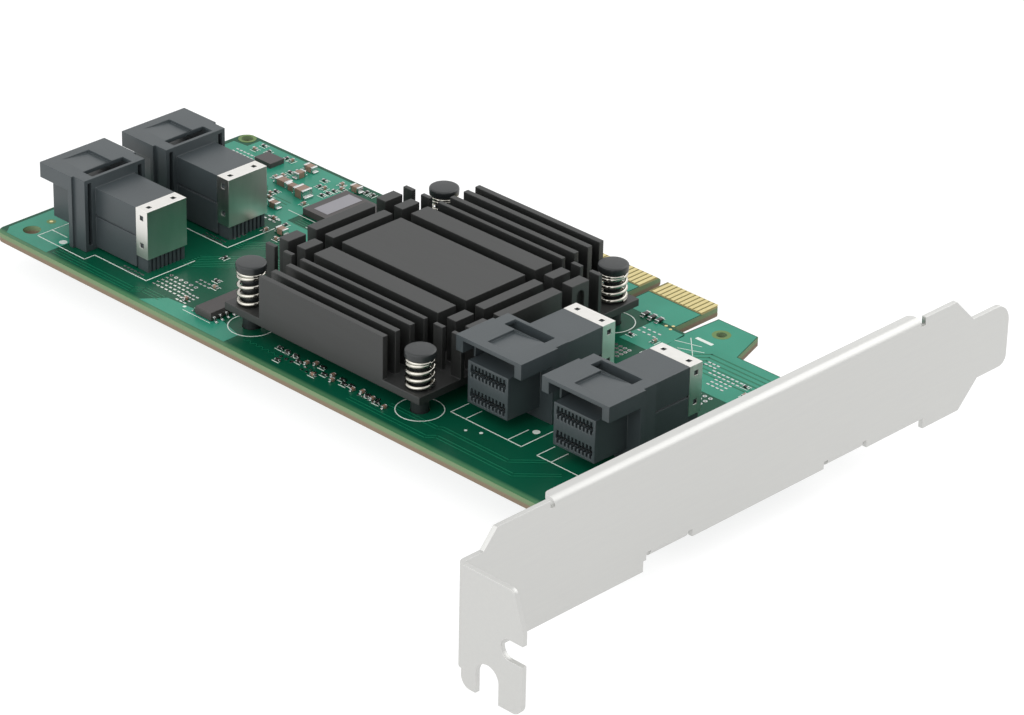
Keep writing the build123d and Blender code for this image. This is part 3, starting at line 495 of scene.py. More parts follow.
def board_material():
    """Solder mask on glass-fibre laminate: deep glossy green, with an olive rim and bare cut edges."""
    material, tree = start_material("solder_mask_on_laminate")
    place = millimetres(tree)
    cut = add_node(tree, "ShaderNodeSeparateXYZ", {"Vector": place})
    # The mask's thickness drifts slowly over the board, in clouds about 25 mm across
    cloud = add_node(tree, "ShaderNodeTexNoise", {"Vector": place, "Scale": 0.04, "Detail": 2.0})
    green = add_node(tree, "ShaderNodeMix", {
        MIX_SHARE: cloud.outputs["Fac"],
        MIX_FIRST: linear(MASK_DARK),
        MIX_SECOND: linear(MASK_LIGHT),
    }, data_type="RGBA")
    # Past the mask's edge on the tongue the laminate is bare, yellow and brown
    past_mask = add_node(tree, "ShaderNodeMath", {
        0: cut.outputs["Y"],
        1: MASK_END_Y,
    }, operation="GREATER_THAN")
    on_tongue = add_node(tree, "ShaderNodeMath", {
        0: cut.outputs["X"],
        1: TONGUE_END_X,
    }, operation="LESS_THAN")
    bare = add_node(tree, "ShaderNodeMath", {
        0: past_mask.outputs[0],
        1: on_tongue.outputs[0],
    }, operation="MULTIPLY")
    masked = add_node(tree, "ShaderNodeMix", {
        MIX_SHARE: bare.outputs[0],
        MIX_FIRST: green.outputs[MIX_RESULT],
        MIX_SECOND: linear(BARE_LAMINATE),
    }, data_type="RGBA")
    # The front rim, about 1 mm wide, has no copper below it, so the laminate shows through as olive
    rim = add_node(tree, "ShaderNodeMapRange", {
        "Value": cut.outputs["Y"],
        "From Min": RIM_START_Y,
        "From Max": RIM_FULL_Y,
    })
    top = add_node(tree, "ShaderNodeMix", {
        MIX_SHARE: rim.outputs[0],
        MIX_FIRST: masked.outputs[MIX_RESULT],
        MIX_SECOND: linear(RIM_OLIVE),
    }, data_type="RGBA")
    # The cut edge shows layers of glass cloth, about 0.2 mm each
    layers = add_node(tree, "ShaderNodeTexWave", {
        "Vector": place,
        "Scale": 1.6,
        "Distortion": 0.6,
    }, bands_direction="Z")
    layered = add_node(tree, "ShaderNodeMix", {
        MIX_SHARE: layers.outputs["Fac"],
        MIX_FIRST: linear(CUT_DARK),
        MIX_SECOND: linear(CUT_LIGHT),
    }, data_type="RGBA")
    # The saw's dust leaves the lower half of the cut edge brown
    lower = add_node(tree, "ShaderNodeMapRange", {
        "Value": cut.outputs["Z"],
        "From Min": DUST_START_Z,
        "From Max": DUST_FULL_Z,
    })
    edge = add_node(tree, "ShaderNodeMix", {
        MIX_SHARE: lower.outputs[0],
        MIX_FIRST: layered.outputs[MIX_RESULT],
        MIX_SECOND: linear(CUT_DUST),
    }, data_type="RGBA")
    facing = add_node(tree, "ShaderNodeNewGeometry")
    normal = add_node(tree, "ShaderNodeSeparateXYZ", {"Vector": facing.outputs["Normal"]})
    level = add_node(tree, "ShaderNodeMath", {0: normal.outputs["Z"]}, operation="ABSOLUTE")
    side = add_node(tree, "ShaderNodeMath", {
        0: level.outputs[0],
        1: LEVEL_LIMIT,
    }, operation="LESS_THAN")
    colour = add_node(tree, "ShaderNodeMix", {
        MIX_SHARE: side.outputs[0],
        MIX_FIRST: top.outputs[MIX_RESULT],
        MIX_SECOND: edge.outputs[MIX_RESULT],
    }, data_type="RGBA")
    rough = add_node(tree, "ShaderNodeMapRange", {
        "Value": side.outputs[0],
        "To Min": MASK_ROUGHNESS,
        "To Max": CUT_ROUGHNESS,
    })
    # The glass cloth's weave shows faintly through the mask, threads about 0.7 mm apart
    weave = add_node(tree, "ShaderNodeTexNoise", {"Vector": place, "Scale": 1.4, "Detail": 3.0})
    bump = add_node(tree, "ShaderNodeBump", {
        "Strength": 0.05,
        "Distance": 0.2 * MM,
        "Height": weave.outputs["Fac"],
    })
    surface = add_node(tree, "ShaderNodeBsdfPrincipled", {
        "Base Color": colour.outputs[MIX_RESULT],
        "Roughness": rough.outputs[0],
        "Normal": bump.outputs["Normal"],
        "IOR": 1.5,
        "Specular IOR Level": 0.12,
    })
    return end_material(material, surface)


def masked_copper(name, dark, light):
    """Copper under solder mask: the metal brightens the green, with the etched foil's fine grain."""
    material, tree = start_material(name)
    place = millimetres(tree)
    # Clouds about 9 mm across
    cloud = add_node(tree, "ShaderNodeTexNoise", {"Vector": place, "Scale": 0.11, "Detail": 2.0})
    tint = add_node(tree, "ShaderNodeMix", {
        MIX_SHARE: cloud.outputs["Fac"],
        MIX_FIRST: linear(dark),
        MIX_SECOND: linear(light),
    }, data_type="RGBA")
    # The foil's grain, drawn as coarse as 0.4 mm so that it shows
    grain = add_node(tree, "ShaderNodeTexNoise", {"Vector": place, "Scale": 2.5, "Detail": 3.0})
    bump = add_node(tree, "ShaderNodeBump", {
        "Strength": 0.06,
        "Distance": 0.1 * MM,
        "Height": grain.outputs["Fac"],
    })
    surface = add_node(tree, "ShaderNodeBsdfPrincipled", {
        "Base Color": tint.outputs[MIX_RESULT],
        "Roughness": 0.28,
        "Normal": bump.outputs["Normal"],
        "IOR": 1.5,
        "Specular IOR Level": 0.2,
    })
    return end_material(material, surface)


def grained_metal(name, colour, dark, roughness, grain_mm, stretch=EVEN):
    """A metal with a fine grain, drawn out along an axis where its stretch is less than one."""
    material, tree = start_material(name)
    place = millimetres(tree)
    # The real grain is finer than the render can show, so it is drawn as coarse as grain_mm
    drawn = add_node(tree, "ShaderNodeMapping", {"Vector": place, "Scale": stretch})
    grain = add_node(tree, "ShaderNodeTexNoise", {
        "Vector": drawn.outputs["Vector"],
        "Scale": 1 / grain_mm,
        "Detail": 4.0,
    })
    tint = add_node(tree, "ShaderNodeMix", {
        MIX_SHARE: grain.outputs["Fac"],
        MIX_FIRST: linear(dark),
        MIX_SECOND: linear(colour),
    }, data_type="RGBA")
    rough = add_node(tree, "ShaderNodeMapRange", {
        "Value": grain.outputs["Fac"],
        "To Min": roughness * SMOOTHER,
        "To Max": roughness * ROUGHER,
    })
    bump = add_node(tree, "ShaderNodeBump", {
        "Strength": 0.08,
        "Distance": 0.1 * MM,
        "Height": grain.outputs["Fac"],
    })
    surface = add_node(tree, "ShaderNodeBsdfPrincipled", {
        "Base Color": tint.outputs[MIX_RESULT],
        "Metallic": 1.0,
        "Roughness": rough.outputs[0],
        "Normal": bump.outputs["Normal"],
    })
    return end_material(material, surface)


def moulded(name, colour, light, roughness, grain_mm):
    """A moulded, printed or fired surface with a fine grain."""
    material, tree = start_material(name)
    place = millimetres(tree)
    # The real grain is finer than the render can show, so it is drawn as coarse as grain_mm
    grain = add_node(tree, "ShaderNodeTexNoise", {"Vector": place, "Scale": 1 / grain_mm, "Detail": 5.0})
    # Its flow before it set leaves pale clouds about 8 mm across
    cloud = add_node(tree, "ShaderNodeTexNoise", {"Vector": place, "Scale": 0.12, "Detail": 2.0})
    tint = add_node(tree, "ShaderNodeMix", {
        MIX_SHARE: cloud.outputs["Fac"],
        MIX_FIRST: linear(colour),
        MIX_SECOND: linear(light),
    }, data_type="RGBA")
    rough = add_node(tree, "ShaderNodeMapRange", {
        "Value": grain.outputs["Fac"],
        "To Min": roughness * SMOOTHER,
        "To Max": roughness * ROUGHER,
    })
    bump = add_node(tree, "ShaderNodeBump", {
        "Strength": 0.12,
        "Distance": 0.05 * MM,
        "Height": grain.outputs["Fac"],
    })
    surface = add_node(tree, "ShaderNodeBsdfPrincipled", {
        "Base Color": tint.outputs[MIX_RESULT],
        "Roughness": rough.outputs[0],
        "Normal": bump.outputs["Normal"],
        "IOR": 1.55,
    })
    return end_material(material, surface)


def anodised_aluminium():
    """Extruded aluminium, saw-cut and anodised black: dull sheen, slightly streaked along the fins."""
    material, tree = start_material("anodised_aluminium")
    place = millimetres(tree)
    # Extrusion lines run along the fins, about 0.5 mm apart and 6 mm long
    drawn = add_node(tree, "ShaderNodeMapping", {"Vector": place, "Scale": ALONG_FINS})
    streak = add_node(tree, "ShaderNodeTexNoise", {
        "Vector": drawn.outputs["Vector"],
        "Scale": 2.0,
        "Detail": 4.0,
    })
    tint = add_node(tree, "ShaderNodeMix", {
        MIX_SHARE: streak.outputs["Fac"],
        MIX_FIRST: linear(ANODISED_DARK),
        MIX_SECOND: linear(ANODISED_LIGHT),
    }, data_type="RGBA")
    # Etched before anodising: a grit of 0.2 mm
    grit = add_node(tree, "ShaderNodeTexNoise", {"Vector": place, "Scale": 5.0, "Detail": 4.0})
    bump = add_node(tree, "ShaderNodeBump", {
        "Strength": 0.15,
        "Distance": 0.05 * MM,
        "Height": grit.outputs["Fac"],
    })
    surface = add_node(tree, "ShaderNodeBsdfPrincipled", {
        "Base Color": tint.outputs[MIX_RESULT],
        "Roughness": 0.5,
        "Normal": bump.outputs["Normal"],
        "IOR": 1.65,
    })
    return end_material(material, surface)


# The finish of each of the record's slots
MATERIALS = {
    # Solder mask over glass-fibre laminate: a deep, glossy green that ends in raw layered edges
    "board": board_material(),
    # Hard gold plated over nickel: pale warm yellow, half matt from the plating's fine grain
    "gold": grained_metal("hard_gold_plate", "#E8DBA4", "#D3C283", roughness=0.3, grain_mm=0.6),
    # Rolled steel sheet, zinc plated: pale grey and satin, with a faint grain along its length
    "plated_steel": grained_metal(
        "zinc_plated_steel", "#CFCFCC", "#C7C7C5", roughness=0.45, grain_mm=0.5, stretch=ALONG_BRACKET,
    ),
    # Aluminium anodised black: no mirror, only a dull sheen on the fins
    "dark_aluminium": anodised_aluminium(),
    # Moulded epoxy: dark and slightly warm, half matt from the mould's etched face
    "chip_plastic": moulded("epoxy_moulding", "#3C3838", "#494544", roughness=0.5, grain_mm=0.15),
    # Silicone filled with mineral powder: grey, soft and dull
    "thermal_pad": moulded("silicone_pad", "#7E858C", "#8A9198", roughness=0.7, grain_mm=0.3),
    # Fired ceramic: brown, smooth and a little uneven in tone
    "ceramic": moulded("fired_ceramic", "#7E6152", "#A58A76", roughness=0.45, grain_mm=0.3),
    # Polyester filled with glass fibre: dark blue grey, with a fine grain from the mould
    "black_plastic": moulded(
        "glass_filled_polyester", "#373E41", "#434B4E", roughness=0.4, grain_mm=0.12,
    ),
    # Drawn steel wire: bright and smooth, so that it mirrors the studio
    "spring_steel": grained_metal(
        "bright_spring_wire", "#CBC8BF", "#B2AFA6", roughness=0.16, grain_mm=0.5,
    ),
    # Steel plated with bright tin: nearly white, with soft reflections of what stands round it
    "bright_steel": grained_metal(
        "bright_tin_plate", "#F0EEEA", "#E4E2DD", roughness=0.3, grain_mm=1.0, stretch=UP_COVER,
    ),
}

# Copper under the mask: pale green over a wide pour, darker over thin tracks, olive over a land
PALE_MASK = masked_copper("mask_over_copper_pour", "#258369", "#3A9D84")
TRACK_MASK = masked_copper("mask_over_tracks", "#0C6546", "#187556")
OLIVE_LAND = masked_copper("mask_over_bare_land", "#5C7A40", "#6E8A4E")

# Ink pressed through a screen: dull white, faintly green from the mask below it
WHITE_INK = moulded("screen_printed_ink", "#DCE8DF", "#EEF4EE", roughness=0.55, grain_mm=0.2)

# Solder that has flowed and set: bright grey with a soft grain
SOLDER = grained_metal("reflowed_solder", "#D8DAD8", "#BFC2C0", roughness=0.26, grain_mm=0.3)

# Moulded nylon: black, a little glossier than the receptacles
PIN_NYLON = moulded("black_nylon", "#1C1F20", "#262A2B", roughness=0.38, grain_mm=0.2)

# Polyester film: grey and half matt, lighter than the chip as a painted sheen
LABEL_WITH_PAINTED_SHEEN = moulded("plain_polyester_label", "#88868C", "#96949A", roughness=0.4, grain_mm=0.5)

# Glass glaze over a resistor, nearly black and smooth; it also paints the shade inside each via's hole
GLAZE_AND_HOLE_SHADE = moulded("resistor_glaze", "#161514", "#26221F", roughness=0.3, grain_mm=0.2)


def bevel_edges(piece, width):
    """Rounds a piece's sharp edges and keeps its flat faces flat."""
    bevel = piece.modifiers.new("bevel", "BEVEL")
    bevel.width = width * MM
    bevel.segments = BEVEL_SEGMENTS
    bevel.limit_method = "ANGLE"
    bevel.angle_limit = math.radians(SHARP_ANGLE)
    piece.data.shade_smooth()
    weighted = piece.modifiers.new("weighted", "WEIGHTED_NORMAL")
    weighted.mode = "FACE_AREA"
    weighted.weight = FULL_WEIGHT


def soften_edges(piece, width):
    """Rounds a CAD node's sharp edges: joins its facets again, then bevels what still turns sharply."""
    weld = piece.modifiers.new("weld", "WELD")
    weld.merge_threshold = WELD_DISTANCE * MM
    if not piece.name.startswith(PIERCED):
        flat = piece.modifiers.new("flatten", "DECIMATE")
        flat.decimate_type = "DISSOLVE"
        flat.angle_limit = math.radians(FLAT_ANGLE)
    bevel_edges(piece, width)


def dress_nodes():
    """Gives each CAD node the finish of its slot, and soft edges where they show."""
    slot_of = {row["node"]: row["material_slot"] for row in frame["record"]["subparts"]}
    for name, piece in NODES.items():
        piece.data.materials.clear()
        piece.data.materials.append(MATERIALS[slot_of[name]])
    for start, width in EDGE_WIDTHS.items():
        for name in NODES:
            if name.startswith(start):
                soften_edges(NODES[name], width)


def add_loop(shape, points):
    """Adds a loop of points, given in millimetres."""
    return [shape.verts.new((x * MM, y * MM, z * MM)) for x, y, z in points]


def on_circle(x, y, radius, turns):
    """The places on a circle at the given turns."""
    return [(x + radius * math.cos(turn), y + radius * math.sin(turn)) for turn in turns]


def add_circle(shape, x, y, z, radius, sides):
    """Adds a level circle of points."""
    turns = [2 * math.pi * index / sides for index in range(sides)]
    return add_loop(shape, [(*place, z) for place in on_circle(x, y, radius, turns)])


def add_band(shape, lower, upper):
    """Joins two loops of points by a band of faces."""
    for index, corner in enumerate(lower):
        after = (index + 1) % len(lower)
        shape.faces.new((corner, lower[after], upper[after], upper[index]))


def add_stack(shape, loops):
    """Joins loops of points into one closed form, from its first loop to its last."""
    for lower, upper in zip(loops, loops[1:]):
        add_band(shape, lower, upper)
    shape.faces.new(loops[0][::-1])
    shape.faces.new(loops[-1])


def add_prism(shape, corners, low, high):
    """Adds an upright prism with the given corners between two heights."""
    loops = [add_loop(shape, [(*corner, z) for corner in corners]) for z in (low, high)]
    add_stack(shape, loops)


def add_lathe(shape, profile, x, y, sides):
    """Adds a turned form from the radii and heights of its outline."""
    add_stack(shape, [add_circle(shape, x, y, z, radius, sides) for radius, z in profile])


def add_ring(shape, x, y, inner, outer, low, high, sides=DISC_SIDES):
    """Adds a flat ring between two radii and two heights."""
    outline = ((inner, high), (outer, high), (outer, low), (inner, low))
    loops = [add_circle(shape, x, y, z, radius, sides) for radius, z in outline]
    for first, second in zip(loops, loops[1:] + loops[:1]):
        add_band(shape, first, second)


def around(x, y, length, width, turn=0.0):
    """The corners of a rectangle round a point, turned by degrees."""
    cos = math.cos(math.radians(turn))
    sin = math.sin(math.radians(turn))
    corners = []
    for a, b in ((-1, -1), (1, -1), (1, 1), (-1, 1)):
        along = a * length / 2
        across = b * width / 2
        corners.append((x + along * cos - across * sin, y + along * sin + across * cos))
    return corners


def add_run(shape, corners, width, low, high):
    """Adds a flat strip along a run of corners."""
    for start, end in zip(corners, corners[1:]):
        in_x = end[0] - start[0]
        in_y = end[1] - start[1]
        middle = ((start[0] + end[0]) / 2, (start[1] + end[1]) / 2)
        length = math.hypot(in_x, in_y) + width * CORNER_REACH
        turn = math.degrees(math.atan2(in_y, in_x))
        add_prism(shape, around(*middle, length, width, turn), low, high)


def beside(corners, distance):
    """A run of corners moved sideways, so that it stays parallel to the first."""
    moved = []
    for index, (x, y) in enumerate(corners):
        before = corners[max(index - 1, 0)]
        after = corners[min(index + 1, len(corners) - 1)]
        ways = []
        for a, b in ((before, (x, y)), ((x, y), after)):
            length = math.hypot(b[0] - a[0], b[1] - a[1])
            if length:
                ways.append(((a[1] - b[1]) / length, (b[0] - a[0]) / length))
        mean = (sum(way[0] for way in ways) / len(ways), sum(way[1] for way in ways) / len(ways))
        size = mean[0] ** 2 + mean[1] ** 2
        moved.append((x + distance * mean[0] / size, y + distance * mean[1] / size))
    return moved


def pierced(corners, x, y, radius):
    """An outline cut open to a round hole inside it."""
    start = math.atan2(corners[0][1] - y, corners[0][0] - x)
    turns = [start - 2 * math.pi * index / DISC_SIDES for index in range(DISC_SIDES + 1)]
    return [*corners, corners[0], *on_circle(x, y, radius, turns)]


def field(x, y, step_x, step_y, columns, rows):
    """The places of a field of vias or pads."""
    return [(x + column * step_x, y + row * step_y) for column in range(columns) for row in range(rows)]


def make_piece(name, shape, material, rounding=0.0):
    """Turns a finished mesh into a piece that rides on the card."""
    bmesh.ops.recalc_face_normals(shape, faces=shape.faces)
    mesh = bpy.data.meshes.new(name)
    shape.to_mesh(mesh)
    shape.free()
    piece = bpy.data.objects.new(name, mesh)
    bpy.context.scene.collection.objects.link(piece)
    mesh.materials.append(material)
    if rounding:
        bevel_edges(piece, rounding)
    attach(piece, "root")
    return piece


def add_bars(shape, x, y, turn):
    """Adds the printed bars beside one small part, fewer where the parts are crowded."""
    for side in (-BAR_DISTANCE, BAR_DISTANCE):
        if y <= CROWDED_Y and (side > 0 or turn):
            continue
        bar_x = x - side * math.sin(math.radians(turn))
        bar_y = y + side * math.cos(math.radians(turn))
        add_prism(shape, around(bar_x, bar_y, BAR_LENGTH, BAR_WIDTH, turn), BOARD_TOP, INK_HEIGHT)


def make_ink():
    """The white printing: outlines of the receptacles, rings round the pins, bars and dots."""
    shape = bmesh.new()
    for width, corners in INK_LINES:
        add_run(shape, corners, width, BOARD_TOP, INK_HEIGHT)
    for name in PIN_NAMES:
        x, y, _ = top_middle("push_pin_" + name)
        add_ring(shape, x, y, *PIN_RING, BOARD_TOP, INK_HEIGHT, RING_SIDES)
    for places in SMALL_PARTS.values():
        for x, y, turn in places:
            add_bars(shape, x, y, turn)
    for x, y, radius in INK_DOTS:
        add_ring(shape, x, y, PINHOLE, radius, BOARD_TOP, INK_HEIGHT)
    make_piece("printed_outlines", shape, WHITE_INK)


def make_copper():
    """Copper under the mask: pours and bundles of tracks."""
    pours = bmesh.new()
    add_prism(pours, pierced(HOOK_POUR, *HOOK_HOLE), BOARD_TOP, POUR_HEIGHT)
    add_prism(pours, pierced(CORNER_POUR, *CORNER_HOLE), BOARD_TOP, POUR_HEIGHT)
    for corners in POURS:
        add_prism(pours, corners, BOARD_TOP, POUR_HEIGHT)
    make_piece("copper_pours", pours, PALE_MASK)
    tracks = bmesh.new()
    for width, spacing, count, corners in TRACKS:
        for index in range(count):
            add_run(tracks, beside(corners, index * spacing), width, BOARD_TOP, TRACK_HEIGHT)
    winding = []
    for index in range(WINDING_POINTS):
        swing = WINDING_SWING * (index // 2 % 2)
        winding.append((WINDING_START[0] + index * WINDING_STEP, WINDING_START[1] + swing))
    add_run(tracks, winding, WINDING_WIDTH, BOARD_TOP, TRACK_HEIGHT)
    make_piece("copper_tracks", tracks, TRACK_MASK)


def make_vias():
    """Plated vias, each with a dark disc of painted shade where its hole is, gold marks, and the lands
    round open holes.
    """
    rings = bmesh.new()
    hole_shades = bmesh.new()
    for via_field in VIA_FIELDS:
        for place in field(*via_field):
            add_ring(rings, *place, *VIA_RING, BOARD_TOP, PAD_HEIGHT, DOT_SIDES)
            # A near-black disc in the ring: painted shade in place of the hole
            add_ring(hole_shades, *place, *VIA_HOLE_SHADE, BOARD_TOP, TRACK_HEIGHT, DOT_SIDES)
            add_ring(rings, *place, *VIA_RING, BOARD_BOTTOM - PAD_HEIGHT, BOARD_BOTTOM, DOT_SIDES)
    make_piece("via_rings", rings, SOLDER)
    make_piece("via_centres", hole_shades, GLAZE_AND_HOLE_SHADE)
    gold = bmesh.new()
    add_ring(gold, *GOLD_SPOT, PINHOLE, GOLD_SPOT_R, BOARD_TOP, PAD_HEIGHT)
    for x, y in GOLD_DOTS:
        add_ring(gold, x, y, PINHOLE, GOLD_DOT_R, BOARD_TOP, PAD_HEIGHT, DOT_SIDES)
    make_piece("gold_lands", gold, MATERIALS["gold"])
    lands = bmesh.new()
    for x, y, inner, outer, height, sides in LANDS:
        add_ring(lands, x, y, inner, outer, BOARD_TOP, height, sides)
    make_piece("masked_lands", lands, OLIVE_LAND)


def make_pads():
    """Rows of small tinned pads, on both faces of the board."""
    shape = bmesh.new()
    for pad_field in PAD_FIELDS:
        for place in field(*pad_field):
            corners = around(*place, PAD_LENGTH, PAD_WIDTH)
            add_prism(shape, corners, BOARD_TOP, PAD_HEIGHT)
            add_prism(shape, corners, BOARD_BOTTOM - PAD_HEIGHT, BOARD_BOTTOM)
    make_piece("tinned_pads", shape, SOLDER)


def add_chip_part(bodies, ends, length, width, height, x, y, turn):
    """Adds a small part: its body, and two ends that wrap round it and stand in solder."""
    cos = math.cos(math.radians(turn))
    sin = math.sin(math.radians(turn))
    cap = length * END_LENGTH
    add_prism(bodies, around(x, y, length - 2 * cap, width, turn), BOARD_TOP, height)
    for side in (-1, 1):
        away = side * (length - cap) / 2
        end = around(x + away * cos, y + away * sin, cap, width * END_SWELL, turn)
        add_prism(ends, end, BOARD_TOP, height * END_SWELL)
        foot = side * (length / 2 + cap * SOLDER_REACH)
        solder = around(x + foot * cos, y + foot * sin, cap * SOLDER_LENGTH, width * SOLDER_WIDTH, turn)
        add_prism(ends, solder, BOARD_TOP, height * SOLDER_HEIGHT)


def make_small_parts():
    """The small resistors and capacitors that stand all over the board."""
    shapes = {kind: bmesh.new() for kind in SMALL_PARTS}
    ends = bmesh.new()
    for kind, places in SMALL_PARTS.items():
        for place in places:
            add_chip_part(shapes[kind], ends, *SMALL_SIZES[kind], *place)
    make_piece("small_resistors", shapes["resistor"], GLAZE_AND_HOLE_SHADE, rounding=0.03)
    make_piece("small_capacitors", shapes["capacitor"], MATERIALS["ceramic"], rounding=0.04)
    make_piece("small_part_ends", ends, SOLDER, rounding=0.05)


def make_ceramic_parts():
    """The larger ceramic parts, each group standing for its CAD node."""
    for node, parts in CERAMIC_PARTS.items():
        bodies = bmesh.new()
        ends = bmesh.new()
        for part in parts:
            add_chip_part(bodies, ends, *part)
        material = GLAZE_AND_HOLE_SHADE if node == "resistors_right" else MATERIALS["ceramic"]
        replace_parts(make_piece(node + "_bodies", bodies, material, rounding=0.1), node)
        make_piece(node + "_ends", ends, SOLDER, rounding=0.1)


def add_lead(shape, x, side, y):
    """Adds one gull-wing lead that leaves the body, bends down and ends in a foot."""
    wide = LEAD_HALF_WIDTH
    thick = LEAD_HALF_THICKNESS
    loops = []
    for out, z in LEAD_PATH:
        section = ((-wide, -thick), (wide, -thick), (wide, thick), (-wide, thick))
        loops.append(add_loop(shape, [(x + side * out, y + half, z + up) for half, up in section]))
    add_stack(shape, loops)


def make_leaded_chip():
    """The leaded chip: a moulded body with drafted sides, and tinned gull-wing leads."""
    x, y, _ = top_middle("leaded_chip")
    body = bmesh.new()
    loops = []
    for z, inset in LEADED_LEVELS:
        corners = around(x, y, LEADED_LENGTH - 2 * inset, LEADED_DEPTH - 2 * inset)
        loops.append(add_loop(body, [(*corner, z) for corner in corners]))
    add_stack(body, loops)
    piece = make_piece("leaded_chip_body", body, MATERIALS["chip_plastic"], rounding=0.08)
    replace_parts(piece, "leaded_chip")
    leads = bmesh.new()
    for index in range(LEADS_A_SIDE):
        lead_y = y + (index - (LEADS_A_SIDE - 1) / 2) * LEAD_SPACING
        for side in (-1, 1):
            add_lead(leads, x + side * LEADED_LENGTH / 2, side, lead_y)
    make_piece("leaded_chip_leads", leads, SOLDER, rounding=0.03)


def make_label_painted_sheen():
    """The label on the left part of the controller chip, pale grey as a painted sheen."""
    _, _, chip_top = top_middle("controller_chip")
    shape = bmesh.new()
    add_prism(shape, LABEL, chip_top, chip_top + LABEL_THICKNESS)
    make_piece("plain_label", shape, LABEL_WITH_PAINTED_SHEEN)


def make_spring(name, x, y, top):
    """A coil spring with closed ends, from the heatsink's base to the pin's head."""
    low = SPRING_LOW_Z + WIRE_R
    high = top - SPRING_END_DEPTH - WIRE_R
    curve = bpy.data.curves.new("coil_spring_" + name, "CURVE")
    curve.dimensions = "3D"
    curve.bevel_depth = WIRE_R * MM
    curve.bevel_resolution = WIRE_SMOOTHNESS
    curve.use_fill_caps = True
    line = curve.splines.new("POLY")
    count = int(SPRING_TURNS * POINTS_A_TURN)
    line.points.add(count)
    for index in range(count + 1):
        turns = index / count * SPRING_TURNS
        turn = 2 * math.pi * turns
        # The end turns lie flat, the ones between rise evenly
        rise = min(max((turns - FLAT_TURNS) / (SPRING_TURNS - 2 * FLAT_TURNS), 0.0), 1.0)
        lie = FLAT_LIFT * (1 - rise) * min(turns / FLAT_TURNS, 1.0)
        line.points[index].co = (
            (x + SPRING_R * math.cos(turn)) * MM,
            (y + SPRING_R * math.sin(turn)) * MM,
            (low + lie + (high - low - lie) * rise) * MM,
            1.0,
        )
    piece = bpy.data.objects.new("coil_spring_" + name, curve)
    bpy.context.scene.collection.objects.link(piece)
    curve.materials.append(MATERIALS["spring_steel"])
    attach(piece, "root")
    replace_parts(piece, "pin_spring_" + name)


def make_pins():
    """Push pins as turned forms, barb, shaft and head, and their springs of round wire."""
    for name in PIN_NAMES:
        x, y, top = top_middle("push_pin_" + name)
        shape = bmesh.new()
        head = [(radius, top - depth) for radius, depth in PIN_HEAD]
        add_lathe(shape, [*PIN_FOOT, *head], x, y, PIN_SIDES)
        pin = make_piece("turned_pin_" + name, shape, PIN_NYLON)
        pin.data.shade_smooth()
        pin.data.set_sharp_from_angle(angle=math.radians(PIN_SHARP_ANGLE))
        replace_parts(pin, "push_pin_" + name)
        make_spring(name, x, y, top)


def make_solder_tails():
    """Soldered tails on the board's underside, below each receptacle."""
    shape = bmesh.new()
    outline = [(radius, BOARD_BOTTOM - depth) for radius, depth in TAIL_OUTLINE]
    for start_x, start_y, tail_step, row_step in TAIL_FIELDS:
        for row in range(TAIL_ROWS):
            for index in range(TAILS_A_ROW):
                x = start_x + index * tail_step[0] + row * row_step[0]
                y = start_y + index * tail_step[1] + row * row_step[1]
                add_lathe(shape, outline, x, y, TAIL_SIDES)
    make_piece("soldered_tails", shape, SOLDER)


def make_camera():
    """The camera, standing and framed as for the photograph."""
    data = bpy.data.cameras.new("photo_camera")
    camera = bpy.data.objects.new("photo_camera", data)
    bpy.context.scene.collection.objects.link(camera)
    data.lens = CAMERA_LENS
    data.sensor_width = SENSOR_WIDTH
    data.shift_x = (IMAGE_WIDTH / 2 - CENTRE_PIXEL[0]) / IMAGE_WIDTH
    data.shift_y = (CENTRE_PIXEL[1] - IMAGE_HEIGHT / 2) / IMAGE_WIDTH
    data.clip_start = CLIP_NEAR * MM
    data.clip_end = CLIP_FAR * MM
    turn = Matrix.Rotation(math.radians(CAMERA_AZIMUTH), 4, "Z")
    tilt = Matrix.Rotation(math.radians(90 - CAMERA_ELEVATION), 4, "X")
    roll = Matrix.Rotation(math.radians(CAMERA_ROLL), 4, "Z")
    camera.matrix_world = Matrix.Translation(Vector(CAMERA_PLACE) * MM) @ turn @ tilt @ roll
    bpy.context.scene.camera = camera


def make_lamps():
    """The soft rectangular lamps, each aimed at a point on the card."""
    for name, (place, aim, size, power) in LAMPS.items():
        data = bpy.data.lights.new(name, "AREA")
        data.shape = "RECTANGLE"
        data.size = size[0] * MM
        data.size_y = size[1] * MM
        data.energy = power
        lamp = bpy.data.objects.new(name, data)
        bpy.context.scene.collection.objects.link(lamp)
        lamp.location = Vector(place) * MM
        direction = (Vector(aim) - Vector(place)).normalized()
        lamp.rotation_mode = "QUATERNION"
        lamp.rotation_quaternion = direction.to_track_quat("-Z", "Y")


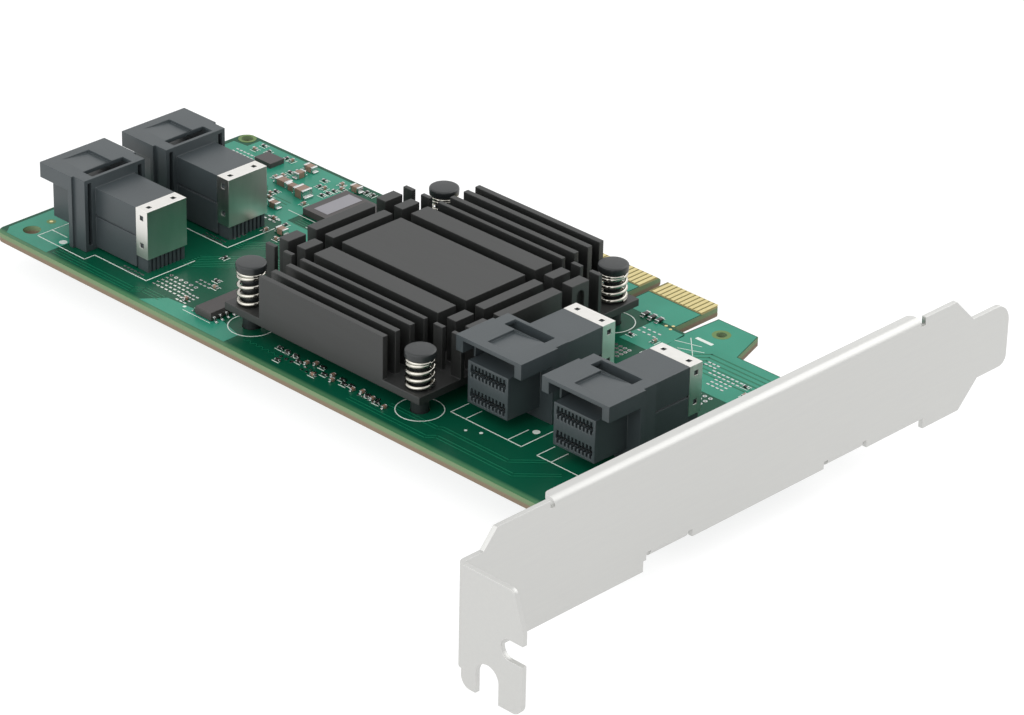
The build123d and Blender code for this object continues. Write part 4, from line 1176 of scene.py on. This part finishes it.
def background_rays(tree):
    """One for the rays that should meet the plain white background: seen, mirrored or seen through."""
    path = add_node(tree, "ShaderNodeLightPath")
    seen = add_node(tree, "ShaderNodeMath", {
        0: path.outputs["Is Camera Ray"],
        1: path.outputs["Is Transmission Ray"],
    }, operation="MAXIMUM")
    met = add_node(tree, "ShaderNodeMath", {
        0: seen.outputs[0],
        1: path.outputs["Is Glossy Ray"],
    }, operation="MAXIMUM")
    return met.outputs[0]


def make_world():
    """A white studio: plain white to the eye and in reflections, softer as light."""
    world = bpy.data.worlds.new("studio")
    bpy.context.scene.world = world
    world.use_nodes = True
    tree = world.node_tree
    tree.nodes.clear()
    white = linear(STUDIO_WHITE)
    soft = add_node(tree, "ShaderNodeBackground", {"Color": white, "Strength": STUDIO_LIGHT})
    plain = add_node(tree, "ShaderNodeBackground", {"Color": white, "Strength": 1.0})
    mixed = add_node(tree, "ShaderNodeMixShader", {
        0: background_rays(tree),
        1: soft.outputs[0],
        2: plain.outputs[0],
    })
    add_node(tree, "ShaderNodeOutputWorld", {"Surface": mixed.outputs[0]})


def make_floor():
    """A white floor just under the card: white to the eye, with the card's soft shadow."""
    reach = FLOOR_REACH * MM
    low = cad_low.z
    corners = [(-reach, -reach, low), (reach, -reach, low), (reach, reach, low), (-reach, reach, low)]
    mesh = bpy.data.meshes.new("floor")
    mesh.from_pydata(corners, [], [(0, 1, 2, 3)])
    floor = bpy.data.objects.new("floor", mesh)
    bpy.context.scene.collection.objects.link(floor)
    material, tree = start_material("white_floor")
    dull = add_node(tree, "ShaderNodeBsdfDiffuse", {"Color": linear(FLOOR_TONE)})
    shade = add_node(tree, "ShaderNodeBsdfDiffuse", {"Color": linear(FLOOR_SHADE)})
    glow = add_node(tree, "ShaderNodeEmission", {"Color": linear(STUDIO_WHITE), "Strength": FLOOR_GLOW})
    lifted = add_node(tree, "ShaderNodeAddShader", {0: shade.outputs[0], 1: glow.outputs[0]})
    surface = add_node(tree, "ShaderNodeMixShader", {
        0: background_rays(tree),
        1: dull.outputs[0],
        2: lifted.outputs[0],
    })
    mesh.materials.append(end_material(material, surface))


dress_nodes()
make_camera()
make_world()
make_floor()
make_ink()
make_copper()
make_vias()
make_pads()
make_small_parts()
make_ceramic_parts()
make_leaded_chip()
make_label_painted_sheen()
make_pins()
make_solder_tails()
make_lamps()

bpy.context.scene.view_settings.view_transform = "Standard"
